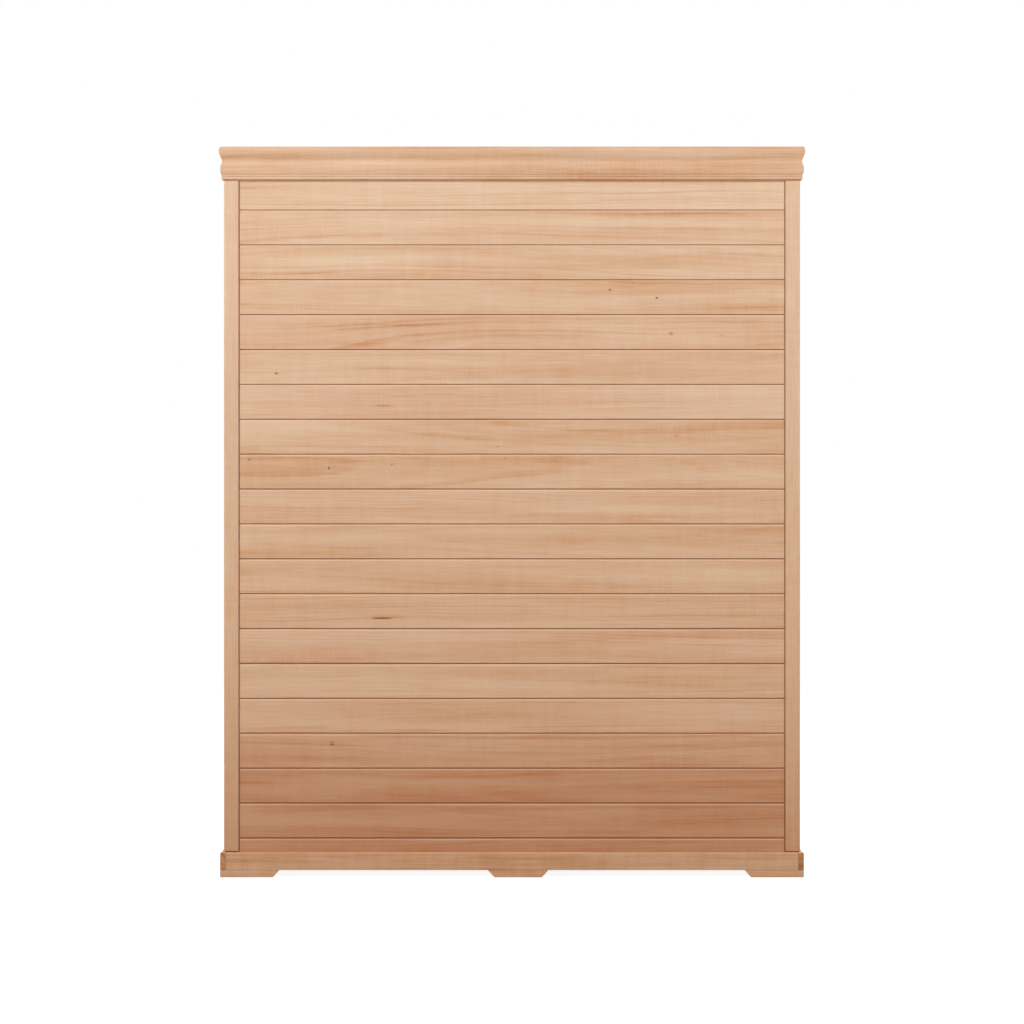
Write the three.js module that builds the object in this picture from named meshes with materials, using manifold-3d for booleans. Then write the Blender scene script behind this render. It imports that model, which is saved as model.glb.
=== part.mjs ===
// Infrared sauna cabin: boarded wall panels stand on a floor panel with a plinth and carry a roof panel
// with a moulded cornice. A glass door hangs between two fixed panes in the front.
// Millimetres, +Z up, the door towards -Y, the origin on the ground in the middle of the footprint.
import * as THREE from 'three';
import { mergeVertices } from 'three/addons/utils/BufferGeometryUtils.js';
import Module from 'manifold-3d';

const wasm = await Module();
wasm.setup();

// Cabin body over the wall panels, and the play between pieces that touch
const BODY_WIDTH = 1500;
const BODY_DEPTH = 1076;
const HEIGHT = 1900;
const PLAY = 0.3;
const OVERLAP = 1;

// Base: feet, plinth and floor panel
const FOOT_HEIGHT = 19;
const FOOT_DEPTH = 40;
const FOOT_LENGTH = 154;
const FOOT_CENTRE_LENGTH = 157;
const FOOT_CENTRE_SHIFT = -16;
const FOOT_SLANT = 17;
const PLINTH_HEIGHT = 46;
const PLINTH_THICK = 14;
const PLINTH_PROUD = 9;
const PLINTH_EASE = 2.5;
const FLOOR_THICK = 18;
const FLOOR_TOP = FOOT_HEIGHT + PLINTH_HEIGHT;
const JOIST_WIDTH = 45;
const JOIST_PLACES = [-250, 250];

// Wall panels: stiles, rails, outer boards and inner lining
const WALL_THICK = 46;
const WALL_TOP = 1812;
const STILE_WIDTH = 38;
const STILE_BOTTOM = 67;
const STILE_EASE = 1.5;
const RAIL_HEIGHT = 60;
const RAIL_LEVELS = [FLOOR_TOP + PLAY, 585, 1275, WALL_TOP - RAIL_HEIGHT];
const BOARD_PITCH = 90.9;
const BOARD_COUNT = 20;
const FIRST_SEAM = 100.5;
const BOARD_THICK = 10;
const BOARD_SETBACK = 4;
const BOARD_END_GAP = 3;
const TONGUE_THICK = 5;
const TONGUE_REACH = 8;
const LINING_THICK = 8;
const LINING_SETBACK = 2;
const OPEN_JOINT = { gap: 2.4, depth: 4.6, ease: 1.6, easeDepth: 1.1 };
const TIGHT_JOINT = { gap: 0.8, depth: 2.4, ease: 1.6, easeDepth: 1.4 };

// Heating panels and what guards them
const HEATER_THICK = 7.6;
const HEATER_CORNER = 12;
const BACK_HEATER = { width: 500, height: 640, middle: 330, bottom: 615 };
const SIDE_HEATER = { width: 480, height: 640, middle: 140, bottom: 615 };
const GUARD_HALF_WIDTH = 620;
const GUARD_BOTTOM = 590;
const GUARD_BATTEN = { width: 40, depth: 18, places: [-600, 0, 600] };
const GUARD_SLAT = { width: 44, depth: 12, pitch: 81, count: 9, ease: 3 };

// Bench
const BENCH_TOP = 525;
const BENCH_SLAT = { width: 74, thick: 22, gap: 12, count: 6, ease: 4 };
const BENCH_BATTEN = { width: 45, thick: 20, places: [-560, 0, 560] };
const BENCH_END_GAP = 0.6;
const APRON = { front: -4, thick: 22, frame: 60, slatWidth: 34, slatThick: 12, slatPitch: 53, slatCount: 6 };
const BENCH_HEATER = { width: 1100, height: 300, bottom: 135 };
const LEDGER = { width: 40, height: 42 };

// Front: frame timbers, panes, door and its fittings
const HEADER_BOTTOM = 1715;
const SILL_TOP = 125;
const DOORWAY_HALF = 316;
const JAMB_WIDTH = 45;
const PANE_THICK = 6;
const PANE_SEAT = 8;
const PANE_SETBACK = 20;
const DOOR_THICK = 8;
const DOOR_SETBACK = 1;
const DOOR_GAP = { hinge: 5, latch: 4, top: 4, bottom: 6 };
const HINGE_LEVELS = { lower: 330, upper: 1510 };
const HINGE = { height: 60, plateWidth: 32, plateThick: 3.2, clampWidth: 48, clampThick: 4.2 };
const KNUCKLE_RADIUS = 6;
const PIN_RADIUS = 3;
const BORE_RADIUS = 3.3;
const AXIS_PROUD = 8;
const HANDLE = { place: 252, level: 960, length: 420, radius: 13, belly: 15, standOff: 36, spacing: 280 };
const STUD_RADIUS = 4;
const STANDOFF_RADIUS = 8;
const STUD_HOLE_RADIUS = 5.2;
const CATCH = { place: 272, width: 60, depth: 16, height: 14 };

// Roof: cornice, ceiling, vent, light and supply unit
const CROWN_BOTTOM = 1815;
const CROWN_INSET = 8;
const CEILING_THICK = 9.7;
const ROOF_FRAME_HEIGHT = 27;
const ROOF_BAR_WIDTH = 40;
const ROOF_BAR_PLACE = 250;
const TRIMMER_WIDTH = 20;
const COVER_THICK = 6;
const VENT = { x: -430, y: 250, width: 110, depth: 90, travel: 115 };
const SLIDE = { width: 150, depth: 116, thick: 8 };
const RUNNER = { wall: 7.4, lip: 14, lipThick: 6, headroom: 1.2 };
const VENT_KNOB = { radius: 12, height: 17 };
const LIGHT = { y: 60, rim: 84, rimHeight: 7, dome: 77, domeHeight: 22 };
const SUPPLY = { x: 390, y: 180, width: 300, depth: 200, height: 38, corner: 6 };
const SUPPLY_FLANGE = { width: 22, thick: 2.5 };
const SUPPLY_INLET = { width: 28, height: 22, depth: 14 };
const SUPPLY_LOUVRE = { width: 4, length: 60, depth: 3, pitch: 12, count: 7 };

// Control panel on the right-hand wall
const PANEL = { y: -330, z: 1250, width: 160, height: 110, thick: 12, corner: 10 };
const DISPLAY = { width: 124, height: 40, rise: 20, depth: 1.6, corner: 3 };
const BUTTON = { radius: 8, pocket: 8.6, height: 8, proud: 2.5, pocketDepth: 8, drop: 28, spacing: 44 };

const HALF_WIDTH = BODY_WIDTH / 2;
const HALF_DEPTH = BODY_DEPTH / 2;
const INNER_X = HALF_WIDTH - WALL_THICK + LINING_SETBACK;
const INNER_Y = HALF_DEPTH - WALL_THICK + LINING_SETBACK;
const SEAMS = Array.from({ length: BOARD_COUNT - 1 }, (_, board) => FIRST_SEAM + board * BOARD_PITCH);

const FINISHES = {
  timber: { color: 0xd9b48f, roughness: 0.62, metalness: 0 },
  plinthTimber: { color: 0xc4976f, roughness: 0.62, metalness: 0 },
  plywood: { color: 0xcfb48e, roughness: 0.75, metalness: 0 },
  glass: { color: 0x9aa09a, roughness: 0.05, metalness: 0, transparent: true, opacity: 0.35 },
  steel: { color: 0xb9bcbd, roughness: 0.3, metalness: 1 },
  carbon: { color: 0x26231f, roughness: 0.8, metalness: 0 },
  blackPlastic: { color: 0x1c1d1f, roughness: 0.4, metalness: 0 },
  buttonPlastic: { color: 0xc9ccce, roughness: 0.35, metalness: 0 },
  opal: { color: 0xf2efe6, roughness: 0.3, metalness: 0 },
  paintedSteel: { color: 0xd5d7d4, roughness: 0.45, metalness: 0.2 },
};

const cabin = new THREE.Group();

// Adds one named piece with a material of its own.
function add(parent, name, finish, geometry) {
  const mesh = new THREE.Mesh(geometry, new THREE.MeshStandardMaterial(FINISHES[finish]));
  mesh.name = name;
  parent.add(mesh);
  return mesh;
}

// A box between two corners.
function block(low, high) {
  const size = high.map((value, axis) => value - low[axis]);
  const middle = high.map((value, axis) => (value + low[axis]) / 2);
  return new THREE.BoxGeometry(...size).translate(...middle);
}

// The plane an outline is drawn in, by the axis it is extruded along: YZ for x, XZ for y and XY for z.
const [AXIS_X, AXIS_Y, AXIS_Z] = [[1, 0, 0], [0, 1, 0], [0, 0, 1]].map((axis) => new THREE.Vector3(...axis));
const PLANES = {
  x: new THREE.Matrix4().makeBasis(AXIS_Y, AXIS_Z, AXIS_X),
  y: new THREE.Matrix4().makeBasis(AXIS_X, AXIS_Z, AXIS_Y.clone().negate()),
  z: new THREE.Matrix4(),
};

// An outline extruded along an axis from one place to another.
function extrude(axis, outline, from, to, curveSegments = 6) {
  const options = { depth: to - from, bevelEnabled: false, curveSegments };
  const geometry = new THREE.ExtrudeGeometry(outline, options);
  geometry.translate(0, 0, axis === 'y' ? -to : from);
  return geometry.applyMatrix4(PLANES[axis]);
}

function polygon(points) {
  return new THREE.Shape(points.map(([u, v]) => new THREE.Vector2(u, v)));
}

// A rectangle with slanted corners, for a bar with eased edges.
function easedRectangle(u0, v0, u1, v1, ease) {
  return polygon([
    [u0 + ease, v0], [u1 - ease, v0], [u1, v0 + ease], [u1, v1 - ease],
    [u1 - ease, v1], [u0 + ease, v1], [u0, v1 - ease], [u0, v0 + ease],
  ]);
}

function roundedRectangle(u, v, width, height, radius) {
  const shape = new THREE.Shape();
  const [right, top] = [u + width / 2 - radius, v + height / 2 - radius];
  const [left, bottom] = [u - width / 2 + radius, v - height / 2 + radius];
  shape.absarc(right, top, radius, 0, Math.PI / 2);
  shape.absarc(left, top, radius, Math.PI / 2, Math.PI);
  shape.absarc(left, bottom, radius, Math.PI, 1.5 * Math.PI);
  shape.absarc(right, bottom, radius, 1.5 * Math.PI, 2 * Math.PI);
  return shape;
}

// A round bar along an axis.
function round(axis, radius, middle, length, sides = 16) {
  const geometry = new THREE.CylinderGeometry(radius, radius, length, sides);
  if (axis === 'x') geometry.rotateZ(-Math.PI / 2);
  if (axis === 'z') geometry.rotateX(Math.PI / 2);
  return geometry.translate(...middle);
}

// Joins and cuts of closed meshes.
function toSolid(geometry) {
  const bare = geometry.clone();
  bare.deleteAttribute('normal');
  bare.deleteAttribute('uv');
  const merged = mergeVertices(bare, 1e-3);
  const vertProperties = new Float32Array(merged.attributes.position.array);
  const triVerts = new Uint32Array(merged.index.array);
  return new wasm.Manifold(new wasm.Mesh({ numProp: 3, vertProperties, triVerts }));
}

function toGeometry(solid) {
  const mesh = solid.getMesh();
  const geometry = new THREE.BufferGeometry();
  geometry.setAttribute('position', new THREE.BufferAttribute(mesh.vertProperties, 3));
  geometry.setIndex(new THREE.BufferAttribute(mesh.triVerts, 1));
  geometry.computeVertexNormals();
  return geometry;
}

function join(...geometries) {
  return toGeometry(geometries.map(toSolid).reduce((whole, solid) => whole.add(solid)));
}

function cut(geometry, ...tools) {
  return toGeometry(tools.map(toSolid).reduce((left, tool) => left.subtract(tool), toSolid(geometry)));
}

// The section of boards laid edge to edge, as points of depth and run. Each seam is a slot with eased edges.
function boardSection(from, to, face, back, seams, joint) {
  const outward = Math.sign(face - back);
  const half = joint.gap / 2;
  const points = [[back, from], [face, from]];
  for (const seam of seams) {
    for (const side of [-1, 1]) {
      const edge = [
        [face, seam + side * (half + joint.ease)],
        [face - outward * joint.easeDepth, seam + side * half],
        [face - outward * joint.depth, seam + side * half],
      ];
      points.push(...(side < 0 ? edge : edge.reverse()));
    }
  }
  points.push([face, to], [back, to]);
  return points;
}

// Groups that turn a wall drawn with its outer face on y = 0, inside towards -y, to each side of the cabin.
function sideGroup(x, y, quarterTurns) {
  const group = new THREE.Group();
  group.position.set(x, y, 0);
  group.rotation.z = (quarterTurns * Math.PI) / 2;
  cabin.add(group);
  return group;
}

const backSide = sideGroup(0, HALF_DEPTH, 0);
const frontSide = sideGroup(0, -HALF_DEPTH, 2);
const leftSide = sideGroup(-HALF_WIDTH, 0, 1);
const rightSide = sideGroup(HALF_WIDTH, 0, -1);

// Feet: strips under the plinth whose inner ends slant in towards the ground.
const plinthX = HALF_WIDTH + PLINTH_PROUD;
const plinthY = HALF_DEPTH + PLINTH_PROUD;
const footTop = FOOT_HEIGHT - PLAY;

// Moves the points on the ground that lie at an end of a strip in by the slant.
function slantEnds(geometry, isEnd, move) {
  const points = geometry.attributes.position;
  const point = new THREE.Vector3();
  for (let index = 0; index < points.count; index += 1) {
    point.fromBufferAttribute(points, index);
    if (point.z < footTop / 2 && isEnd(point)) {
      move(point);
      points.setXYZ(index, ...point);
    }
  }
  geometry.computeVertexNormals();
  return geometry;
}

function cornerFoot(name, sideX, sideY) {
  const [x, y] = [sideX * plinthX, sideY * plinthY];
  const [endX, endY] = [x - sideX * FOOT_LENGTH, y - sideY * FOOT_LENGTH];
  const [innerX, innerY] = [x - sideX * FOOT_DEPTH, y - sideY * FOOT_DEPTH];
  const outline = polygon([[x, y], [endX, y], [endX, innerY], [innerX, innerY], [innerX, endY], [x, endY]]);
  const foot = extrude('z', outline, 0, footTop);
  slantEnds(foot, (point) => Math.abs(point.x - endX) < OVERLAP, (point) => {
    point.x += sideX * FOOT_SLANT;
  });
  slantEnds(foot, (point) => Math.abs(point.y - endY) < OVERLAP, (point) => {
    point.y += sideY * FOOT_SLANT;
  });
  add(cabin, name, 'plinthTimber', foot);
}

function centreFoot(name, sideY) {
  const half = FOOT_CENTRE_LENGTH / 2;
  const outline = polygon([
    [FOOT_SLANT - half, 0], [half - FOOT_SLANT, 0], [half, footTop], [-half, footTop],
  ]);
  const faces = [sideY * plinthY, sideY * (plinthY - FOOT_DEPTH)];
  const foot = extrude('y', outline, Math.min(...faces), Math.max(...faces));
  add(cabin, name, 'plinthTimber', foot.translate(FOOT_CENTRE_SHIFT, 0, 0));
}

for (const [end, sideY] of [['back', 1], ['front', -1]]) {
  cornerFoot(`foot_${end}_left`, -1, sideY);
  cornerFoot(`foot_${end}_right`, 1, sideY);
  centreFoot(`foot_${end}_centre`, sideY);
}

// Plinth: the side boards run the full depth, and the front and back boards are butted between them.
const plinthSection = polygon([
  [PLINTH_PROUD - PLINTH_THICK, FOOT_HEIGHT],
  [PLINTH_PROUD, FOOT_HEIGHT],
  [PLINTH_PROUD, FLOOR_TOP - PLINTH_EASE],
  [PLINTH_PROUD - PLINTH_EASE, FLOOR_TOP],
  [PLINTH_PROUD - PLINTH_THICK, FLOOR_TOP],
]);

function plinth(parent, name, halfLength) {
  add(parent, name, 'plinthTimber', extrude('x', plinthSection, -halfLength, halfLength));
}

plinth(backSide, 'plinth_back', plinthX - PLINTH_THICK - PLAY);
plinth(frontSide, 'plinth_front', plinthX - PLINTH_THICK - PLAY);
plinth(leftSide, 'plinth_left', plinthY);
plinth(rightSide, 'plinth_right', plinthY);

// Floor panel: a frame with joists on the feet, inside the plinth, and boards on it.
const floorX = plinthX - PLINTH_THICK - PLAY;
const floorY = plinthY - PLINTH_THICK - PLAY;
const floorUnderside = FLOOR_TOP - FLOOR_THICK;

// A flat frame: a slab with a rectangular hole for each bay, given by its low and high corners.
function flatFrame(halfX, halfY, bays, bottom, top) {
  const holes = bays.map(([low, high]) => block([...low, bottom - OVERLAP], [...high, top + OVERLAP]));
  return cut(block([-halfX, -halfY, bottom], [halfX, halfY, top]), ...holes);
}

function floorBays() {
  const ends = [-floorX + JOIST_WIDTH / 2, ...JOIST_PLACES, floorX - JOIST_WIDTH / 2];
  const side = floorY - JOIST_WIDTH;
  return ends.slice(1).map((right, bay) => [
    [ends[bay] + JOIST_WIDTH / 2, -side],
    [right - JOIST_WIDTH / 2, side],
  ]);
}

// Seams of boards that lie between two limits, laid out from the middle.
function levelSeams(limit) {
  const count = Math.floor(limit / BOARD_PITCH);
  return Array.from({ length: 2 * count + 1 }, (_, seam) => (seam - count) * BOARD_PITCH);
}

function levelBoards(halfLength, halfDepth, face, back) {
  const section = boardSection(-halfDepth, halfDepth, face, back, levelSeams(halfDepth), TIGHT_JOINT);
  return extrude('x', polygon(section.map(([level, run]) => [run, level])), -halfLength, halfLength);
}

const floorFrame = flatFrame(floorX, floorY, floorBays(), FOOT_HEIGHT, floorUnderside - PLAY);
add(cabin, 'floor_frame', 'plywood', floorFrame);
add(cabin, 'floor_boards', 'timber', levelBoards(floorX, floorY, FLOOR_TOP, floorUnderside));

// Wall panels. A stile has a groove that takes the tongues of the boards.
function stileOutline(width, side) {
  const outer = width / 2;
  const inner = outer - STILE_WIDTH;
  const grooveEnd = inner + TONGUE_REACH + PLAY;
  const grooveBack = -BOARD_SETBACK - BOARD_THICK - PLAY;
  const grooveFront = grooveBack + TONGUE_THICK + 2 * PLAY;
  const points = [
    [outer, -WALL_THICK], [outer, -STILE_EASE], [outer - STILE_EASE, 0], [inner + STILE_EASE, 0],
    [inner, -STILE_EASE], [inner, grooveFront], [grooveEnd, grooveFront],
    [grooveEnd, grooveBack], [inner, grooveBack], [inner, -WALL_THICK],
  ];
  return polygon(points.map(([x, y]) => [side * x, y]));
}

function wallFrame(width) {
  const stiles = [-1, 1].map((side) => extrude('z', stileOutline(width, side), STILE_BOTTOM, WALL_TOP));
  const reach = width / 2 - STILE_WIDTH + OVERLAP;
  const outside = -BOARD_SETBACK - BOARD_THICK - PLAY;
  const inside = LINING_SETBACK + LINING_THICK + PLAY - WALL_THICK;
  const rails = RAIL_LEVELS.map((level) => block(
    [-reach, inside, level],
    [reach, outside, level + RAIL_HEIGHT],
  ));
  return join(...stiles, ...rails);
}

function wallBoards(width) {
  const face = -BOARD_SETBACK;
  const back = face - BOARD_THICK;
  const edge = width / 2 - STILE_WIDTH;
  const bottom = FLOOR_TOP + PLAY;
  const section = polygon(boardSection(bottom, WALL_TOP, face, back, SEAMS, OPEN_JOINT));
  const boards = extrude('x', section, BOARD_END_GAP - edge, edge - BOARD_END_GAP);
  const reach = edge + TONGUE_REACH;
  const tongue = block([-reach, back, STILE_BOTTOM], [reach, back + TONGUE_THICK, WALL_TOP]);
  return join(boards, tongue);
}

function heaterOutline(heater, x, play) {
  const { width, height, bottom } = heater;
  return roundedRectangle(x, bottom + height / 2, width + 2 * play, height + 2 * play, HEATER_CORNER + play);
}

const liningFace = LINING_SETBACK - WALL_THICK;

function wallLining(width, heater, places) {
  const edge = width / 2 - STILE_WIDTH - PLAY;
  const back = liningFace + LINING_THICK;
  const section = boardSection(FLOOR_TOP + PLAY, WALL_TOP, liningFace, back, SEAMS, TIGHT_JOINT);
  const boards = extrude('x', polygon(section), -edge, edge);
  const openings = places.map((x) => extrude(
    'y', heaterOutline(heater, x, PLAY), liningFace - OVERLAP, back + OVERLAP, 3,
  ));
  return cut(boards, ...openings);
}

function wallHeater(heater, x) {
  return extrude('y', heaterOutline(heater, x, 0), liningFace, liningFace + HEATER_THICK, 3);
}

function wallPanel(parent, name, width, heater, places) {
  add(parent, `${name}_frame`, 'timber', wallFrame(width));
  add(parent, `${name}_cladding`, 'timber', wallBoards(width));
  add(parent, `${name}_lining`, 'timber', wallLining(width, heater, places));
}

const sideWidth = BODY_DEPTH - 2 * WALL_THICK - 2 * PLAY;
wallPanel(backSide, 'back', BODY_WIDTH, BACK_HEATER, [-BACK_HEATER.middle, BACK_HEATER.middle]);
wallPanel(leftSide, 'left', sideWidth, SIDE_HEATER, [SIDE_HEATER.middle]);
wallPanel(rightSide, 'right', sideWidth, SIDE_HEATER, [-SIDE_HEATER.middle]);
add(backSide, 'back_heater_left', 'carbon', wallHeater(BACK_HEATER, -BACK_HEATER.middle));
add(backSide, 'back_heater_right', 'carbon', wallHeater(BACK_HEATER, BACK_HEATER.middle));
add(leftSide, 'left_heater', 'carbon', wallHeater(SIDE_HEATER, SIDE_HEATER.middle));
add(rightSide, 'right_heater', 'carbon', wallHeater(SIDE_HEATER, -SIDE_HEATER.middle));

// Backrest guard: slats on battens in front of the two back heaters.
function backrestGuard() {
  const wallFace = INNER_Y - PLAY;
  const battenFace = wallFace - GUARD_BATTEN.depth;
  const height = (GUARD_SLAT.count - 1) * GUARD_SLAT.pitch + GUARD_SLAT.width;
  const battens = GUARD_BATTEN.places.map((x) => block(
    [x - GUARD_BATTEN.width / 2, battenFace, GUARD_BOTTOM],
    [x + GUARD_BATTEN.width / 2, wallFace, GUARD_BOTTOM + height],
  ));
  const slats = Array.from({ length: GUARD_SLAT.count }, (_, slat) => {
    const bottom = GUARD_BOTTOM + slat * GUARD_SLAT.pitch;
    const front = battenFace - GUARD_SLAT.depth;
    const section = easedRectangle(
      front, bottom, battenFace + OVERLAP, bottom + GUARD_SLAT.width, GUARD_SLAT.ease,
    );
    return extrude('x', section, -GUARD_HALF_WIDTH, GUARD_HALF_WIDTH);
  });
  return join(...battens, ...slats);
}

add(cabin, 'backrest_guard', 'timber', backrestGuard());

// Bench: a slatted seat on a wall ledger and on a slatted apron, with a heater behind the apron.
const benchHalf = HALF_WIDTH - WALL_THICK - BENCH_END_GAP;
const benchBack = INNER_Y - BENCH_END_GAP;
const slatUnderside = BENCH_TOP - BENCH_SLAT.thick;
const carrierTop = slatUnderside - PLAY;

function benchSeat() {
  const slats = Array.from({ length: BENCH_SLAT.count }, (_, slat) => {
    const back = benchBack - slat * (BENCH_SLAT.width + BENCH_SLAT.gap);
    const section = easedRectangle(back - BENCH_SLAT.width, slatUnderside, back, BENCH_TOP, BENCH_SLAT.ease);
    return extrude('x', section, -benchHalf, benchHalf);
  });
  const behindApron = APRON.front + APRON.thick + 2 * HEATER_THICK;
  const battens = BENCH_BATTEN.places.map((x) => block(
    [x - BENCH_BATTEN.width / 2, behindApron, slatUnderside - BENCH_BATTEN.thick],
    [x + BENCH_BATTEN.width / 2, benchBack - LEDGER.width - OVERLAP, slatUnderside + OVERLAP],
  ));
  return join(...slats, ...battens);
}

function benchApron() {
  const bottom = FLOOR_TOP + PLAY;
  const back = APRON.front + APRON.thick;
  const bar = (low, high) => block([low[0], APRON.front, low[1]], [high[0], back, high[1]]);
  const half = APRON.frame / 2;
  const postPlaces = [half - benchHalf, 0, benchHalf - half];
  const railLevels = [bottom, carrierTop - APRON.frame];
  const posts = postPlaces.map((x) => bar([x - half, bottom], [x + half, carrierTop]));
  const rails = railLevels.map((z) => bar([-benchHalf, z], [benchHalf, z + APRON.frame]));
  const middle = (bottom + carrierTop) / 2;
  const slats = Array.from({ length: APRON.slatCount }, (_, slat) => {
    const level = middle + (slat - (APRON.slatCount - 1) / 2) * APRON.slatPitch;
    const section = easedRectangle(
      APRON.front, level - APRON.slatWidth / 2, APRON.front + APRON.slatThick, level + APRON.slatWidth / 2, 2,
    );
    return extrude('x', section, APRON.frame / 2 - benchHalf, benchHalf - APRON.frame / 2);
  });
  return join(...posts, ...rails, ...slats);
}

const apronBack = APRON.front + APRON.thick + PLAY;
const benchHeater = extrude('y', heaterOutline(BENCH_HEATER, 0, 0), apronBack, apronBack + HEATER_THICK, 3);
const ledgerLow = [-benchHalf, benchBack - LEDGER.width, carrierTop - LEDGER.height];
add(cabin, 'bench_top', 'timber', benchSeat());
add(cabin, 'bench_apron', 'timber', benchApron());
add(cabin, 'bench_heater', 'carbon', benchHeater);
add(cabin, 'bench_ledger', 'timber', block(ledgerLow, [benchHalf, benchBack, carrierTop]));

// Front frame: stiles, header and sill, with door jambs between them. The panes sit in grooves.
const frontFace = -HALF_DEPTH;
const frontInside = WALL_THICK - HALF_DEPTH;
const stileInner = HALF_WIDTH - STILE_WIDTH;
const jambOuter = DOORWAY_HALF + JAMB_WIDTH;

function paneBox(side, play) {
  const [inner, outer] = [jambOuter - PANE_SEAT - play, stileInner + PANE_SEAT + play];
  const front = frontFace + PANE_SETBACK - play;
  const low = [Math.min(side * inner, side * outer), front, SILL_TOP - PANE_SEAT - play];
  const back = frontFace + PANE_SETBACK + PANE_THICK + play;
  const high = [Math.max(side * inner, side * outer), back, HEADER_BOTTOM + PANE_SEAT + play];
  return block(low, high);
}

const paneGrooves = [-1, 1].map((side) => paneBox(side, PLAY));

function upright(inner, outer, bottom, top, side) {
  const [u0, u1] = [Math.min(side * inner, side * outer), Math.max(side * inner, side * outer)];
  const section = easedRectangle(u0, frontFace, u1, frontInside, STILE_EASE);
  return cut(extrude('z', section, bottom, top), ...paneGrooves);
}

function crossbar(bottom, top) {
  const section = easedRectangle(frontFace, bottom, frontInside, top, STILE_EASE);
  return cut(extrude('x', section, PLAY - stileInner, stileInner - PLAY), ...paneGrooves);
}

for (const [name, side] of [['left', -1], ['right', 1]]) {
  add(cabin, `front_stile_${name}`, 'timber', upright(stileInner, HALF_WIDTH, STILE_BOTTOM, WALL_TOP, side));
  add(cabin, `window_${name}`, 'glass', paneBox(side, 0));
}
for (const [name, side] of [['hinge', -1], ['latch', 1]]) {
  const jamb = upright(DOORWAY_HALF, jambOuter, SILL_TOP + PLAY, HEADER_BOTTOM - PLAY, side);
  add(cabin, `door_jamb_${name}`, 'timber', jamb);
}
add(cabin, 'front_header', 'timber', crossbar(HEADER_BOTTOM, WALL_TOP));
add(cabin, 'front_sill', 'timber', crossbar(FLOOR_TOP + PLAY, SILL_TOP));

// Door: a glass leaf with holes for the studs that hold the two handles.
const glassFront = frontFace + DOOR_SETBACK;
const glassBack = glassFront + DOOR_THICK;
const doorLow = [DOOR_GAP.hinge - DOORWAY_HALF, glassFront, SILL_TOP + DOOR_GAP.bottom];
const doorHigh = [DOORWAY_HALF - DOOR_GAP.latch, glassBack, HEADER_BOTTOM - DOOR_GAP.top];
const studLevels = [-1, 1].map((end) => HANDLE.level + (end * HANDLE.spacing) / 2);

const studHoles = studLevels.map((level) => round(
  'y', STUD_HOLE_RADIUS, [HANDLE.place, (glassFront + glassBack) / 2, level], 3 * DOOR_THICK,
));
add(cabin, 'door_glass', 'glass', cut(block(doorLow, doorHigh), ...studHoles));

// A handle is a turned grip with a belly, held off the glass by two round standoffs.
function handle(side, glassFace, studEnd) {
  const { place, level, length, radius, belly, standOff } = HANDLE;
  const gripY = glassFace + side * standOff;
  const half = length / 2;
  const profile = new THREE.Path();
  profile.moveTo(0, -half);
  profile.lineTo(radius / 2, -half);
  profile.quadraticCurveTo(radius, -half, radius, radius / 2 - half);
  profile.quadraticCurveTo(2 * belly - radius, 0, radius, half - radius / 2);
  profile.quadraticCurveTo(radius, half, radius / 2, half);
  profile.lineTo(0, half);
  const grip = new THREE.LatheGeometry(profile.getPoints(4), 16);
  grip.rotateX(Math.PI / 2).translate(place, gripY, level);
  const seat = glassFace + side * PLAY;
  const rods = studLevels.map((z) => round(
    'y', STANDOFF_RADIUS, [place, (gripY + seat) / 2, z], Math.abs(gripY - seat),
  ));
  const studs = studEnd === null ? [] : studLevels.map((z) => round(
    'y', STUD_RADIUS, [place, (gripY + studEnd) / 2, z], Math.abs(gripY - studEnd),
  ));
  return join(grip, ...rods, ...studs);
}

add(cabin, 'door_handle_outside', 'timber', handle(-1, glassFront, glassBack - PLAY));
add(cabin, 'door_handle_inside', 'timber', handle(1, glassBack, null));

// Hinges: a jamb plate with the middle knuckle and the pin, and a clamp round the glass edge with the others.
const axisX = -DOORWAY_HALF;
const axisY = frontFace - AXIS_PROUD;
const knuckleHeight = HINGE.height / 3;

function hingePlate(level) {
  const [low, high] = [level - HINGE.height / 2, level + HINGE.height / 2];
  const plateEdge = axisX - KNUCKLE_RADIUS - OVERLAP;
  const plateBack = frontFace - PLAY;
  const plate = block(
    [plateEdge - HINGE.plateWidth, plateBack - HINGE.plateThick, low],
    [plateEdge, plateBack, high],
  );
  const half = knuckleHeight / 2 - PLAY;
  const web = block([plateEdge - OVERLAP, axisY, level - half], [axisX, plateBack, level + half]);
  const knuckle = round('z', KNUCKLE_RADIUS, [axisX, axisY, level], 2 * half);
  const pin = round('z', PIN_RADIUS, [axisX, axisY, level], HINGE.height);
  return join(plate, web, knuckle, pin);
}

function hingeClamp(level) {
  const [low, high] = [level - HINGE.height / 2, level + HINGE.height / 2];
  const edge = doorLow[0] - PLAY;
  const far = edge + HINGE.clampWidth;
  const [front, back] = [glassFront - PLAY, glassBack + PLAY];
  const web = edge - HINGE.clampThick / 2;
  const outer = block([web, front - HINGE.clampThick, low], [far, front, high]);
  const bridge = block([web, front - OVERLAP, low], [edge, back + OVERLAP, high]);
  const inner = block([web, back, low], [far, back + HINGE.clampThick, high]);
  const knuckle = round('z', KNUCKLE_RADIUS, [axisX, axisY, level], HINGE.height);
  const bore = round('z', BORE_RADIUS, [axisX, axisY, level], HINGE.height + 2 * OVERLAP);
  const clearRadius = KNUCKLE_RADIUS + OVERLAP;
  const middle = round('z', clearRadius, [axisX, axisY, level], knuckleHeight + PLAY);
  return cut(join(outer, bridge, inner, knuckle), bore, middle);
}

for (const [name, level] of Object.entries(HINGE_LEVELS)) {
  add(cabin, `hinge_${name}_plate`, 'steel', hingePlate(level));
  add(cabin, `hinge_${name}_clamp`, 'steel', hingeClamp(level));
}

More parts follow.
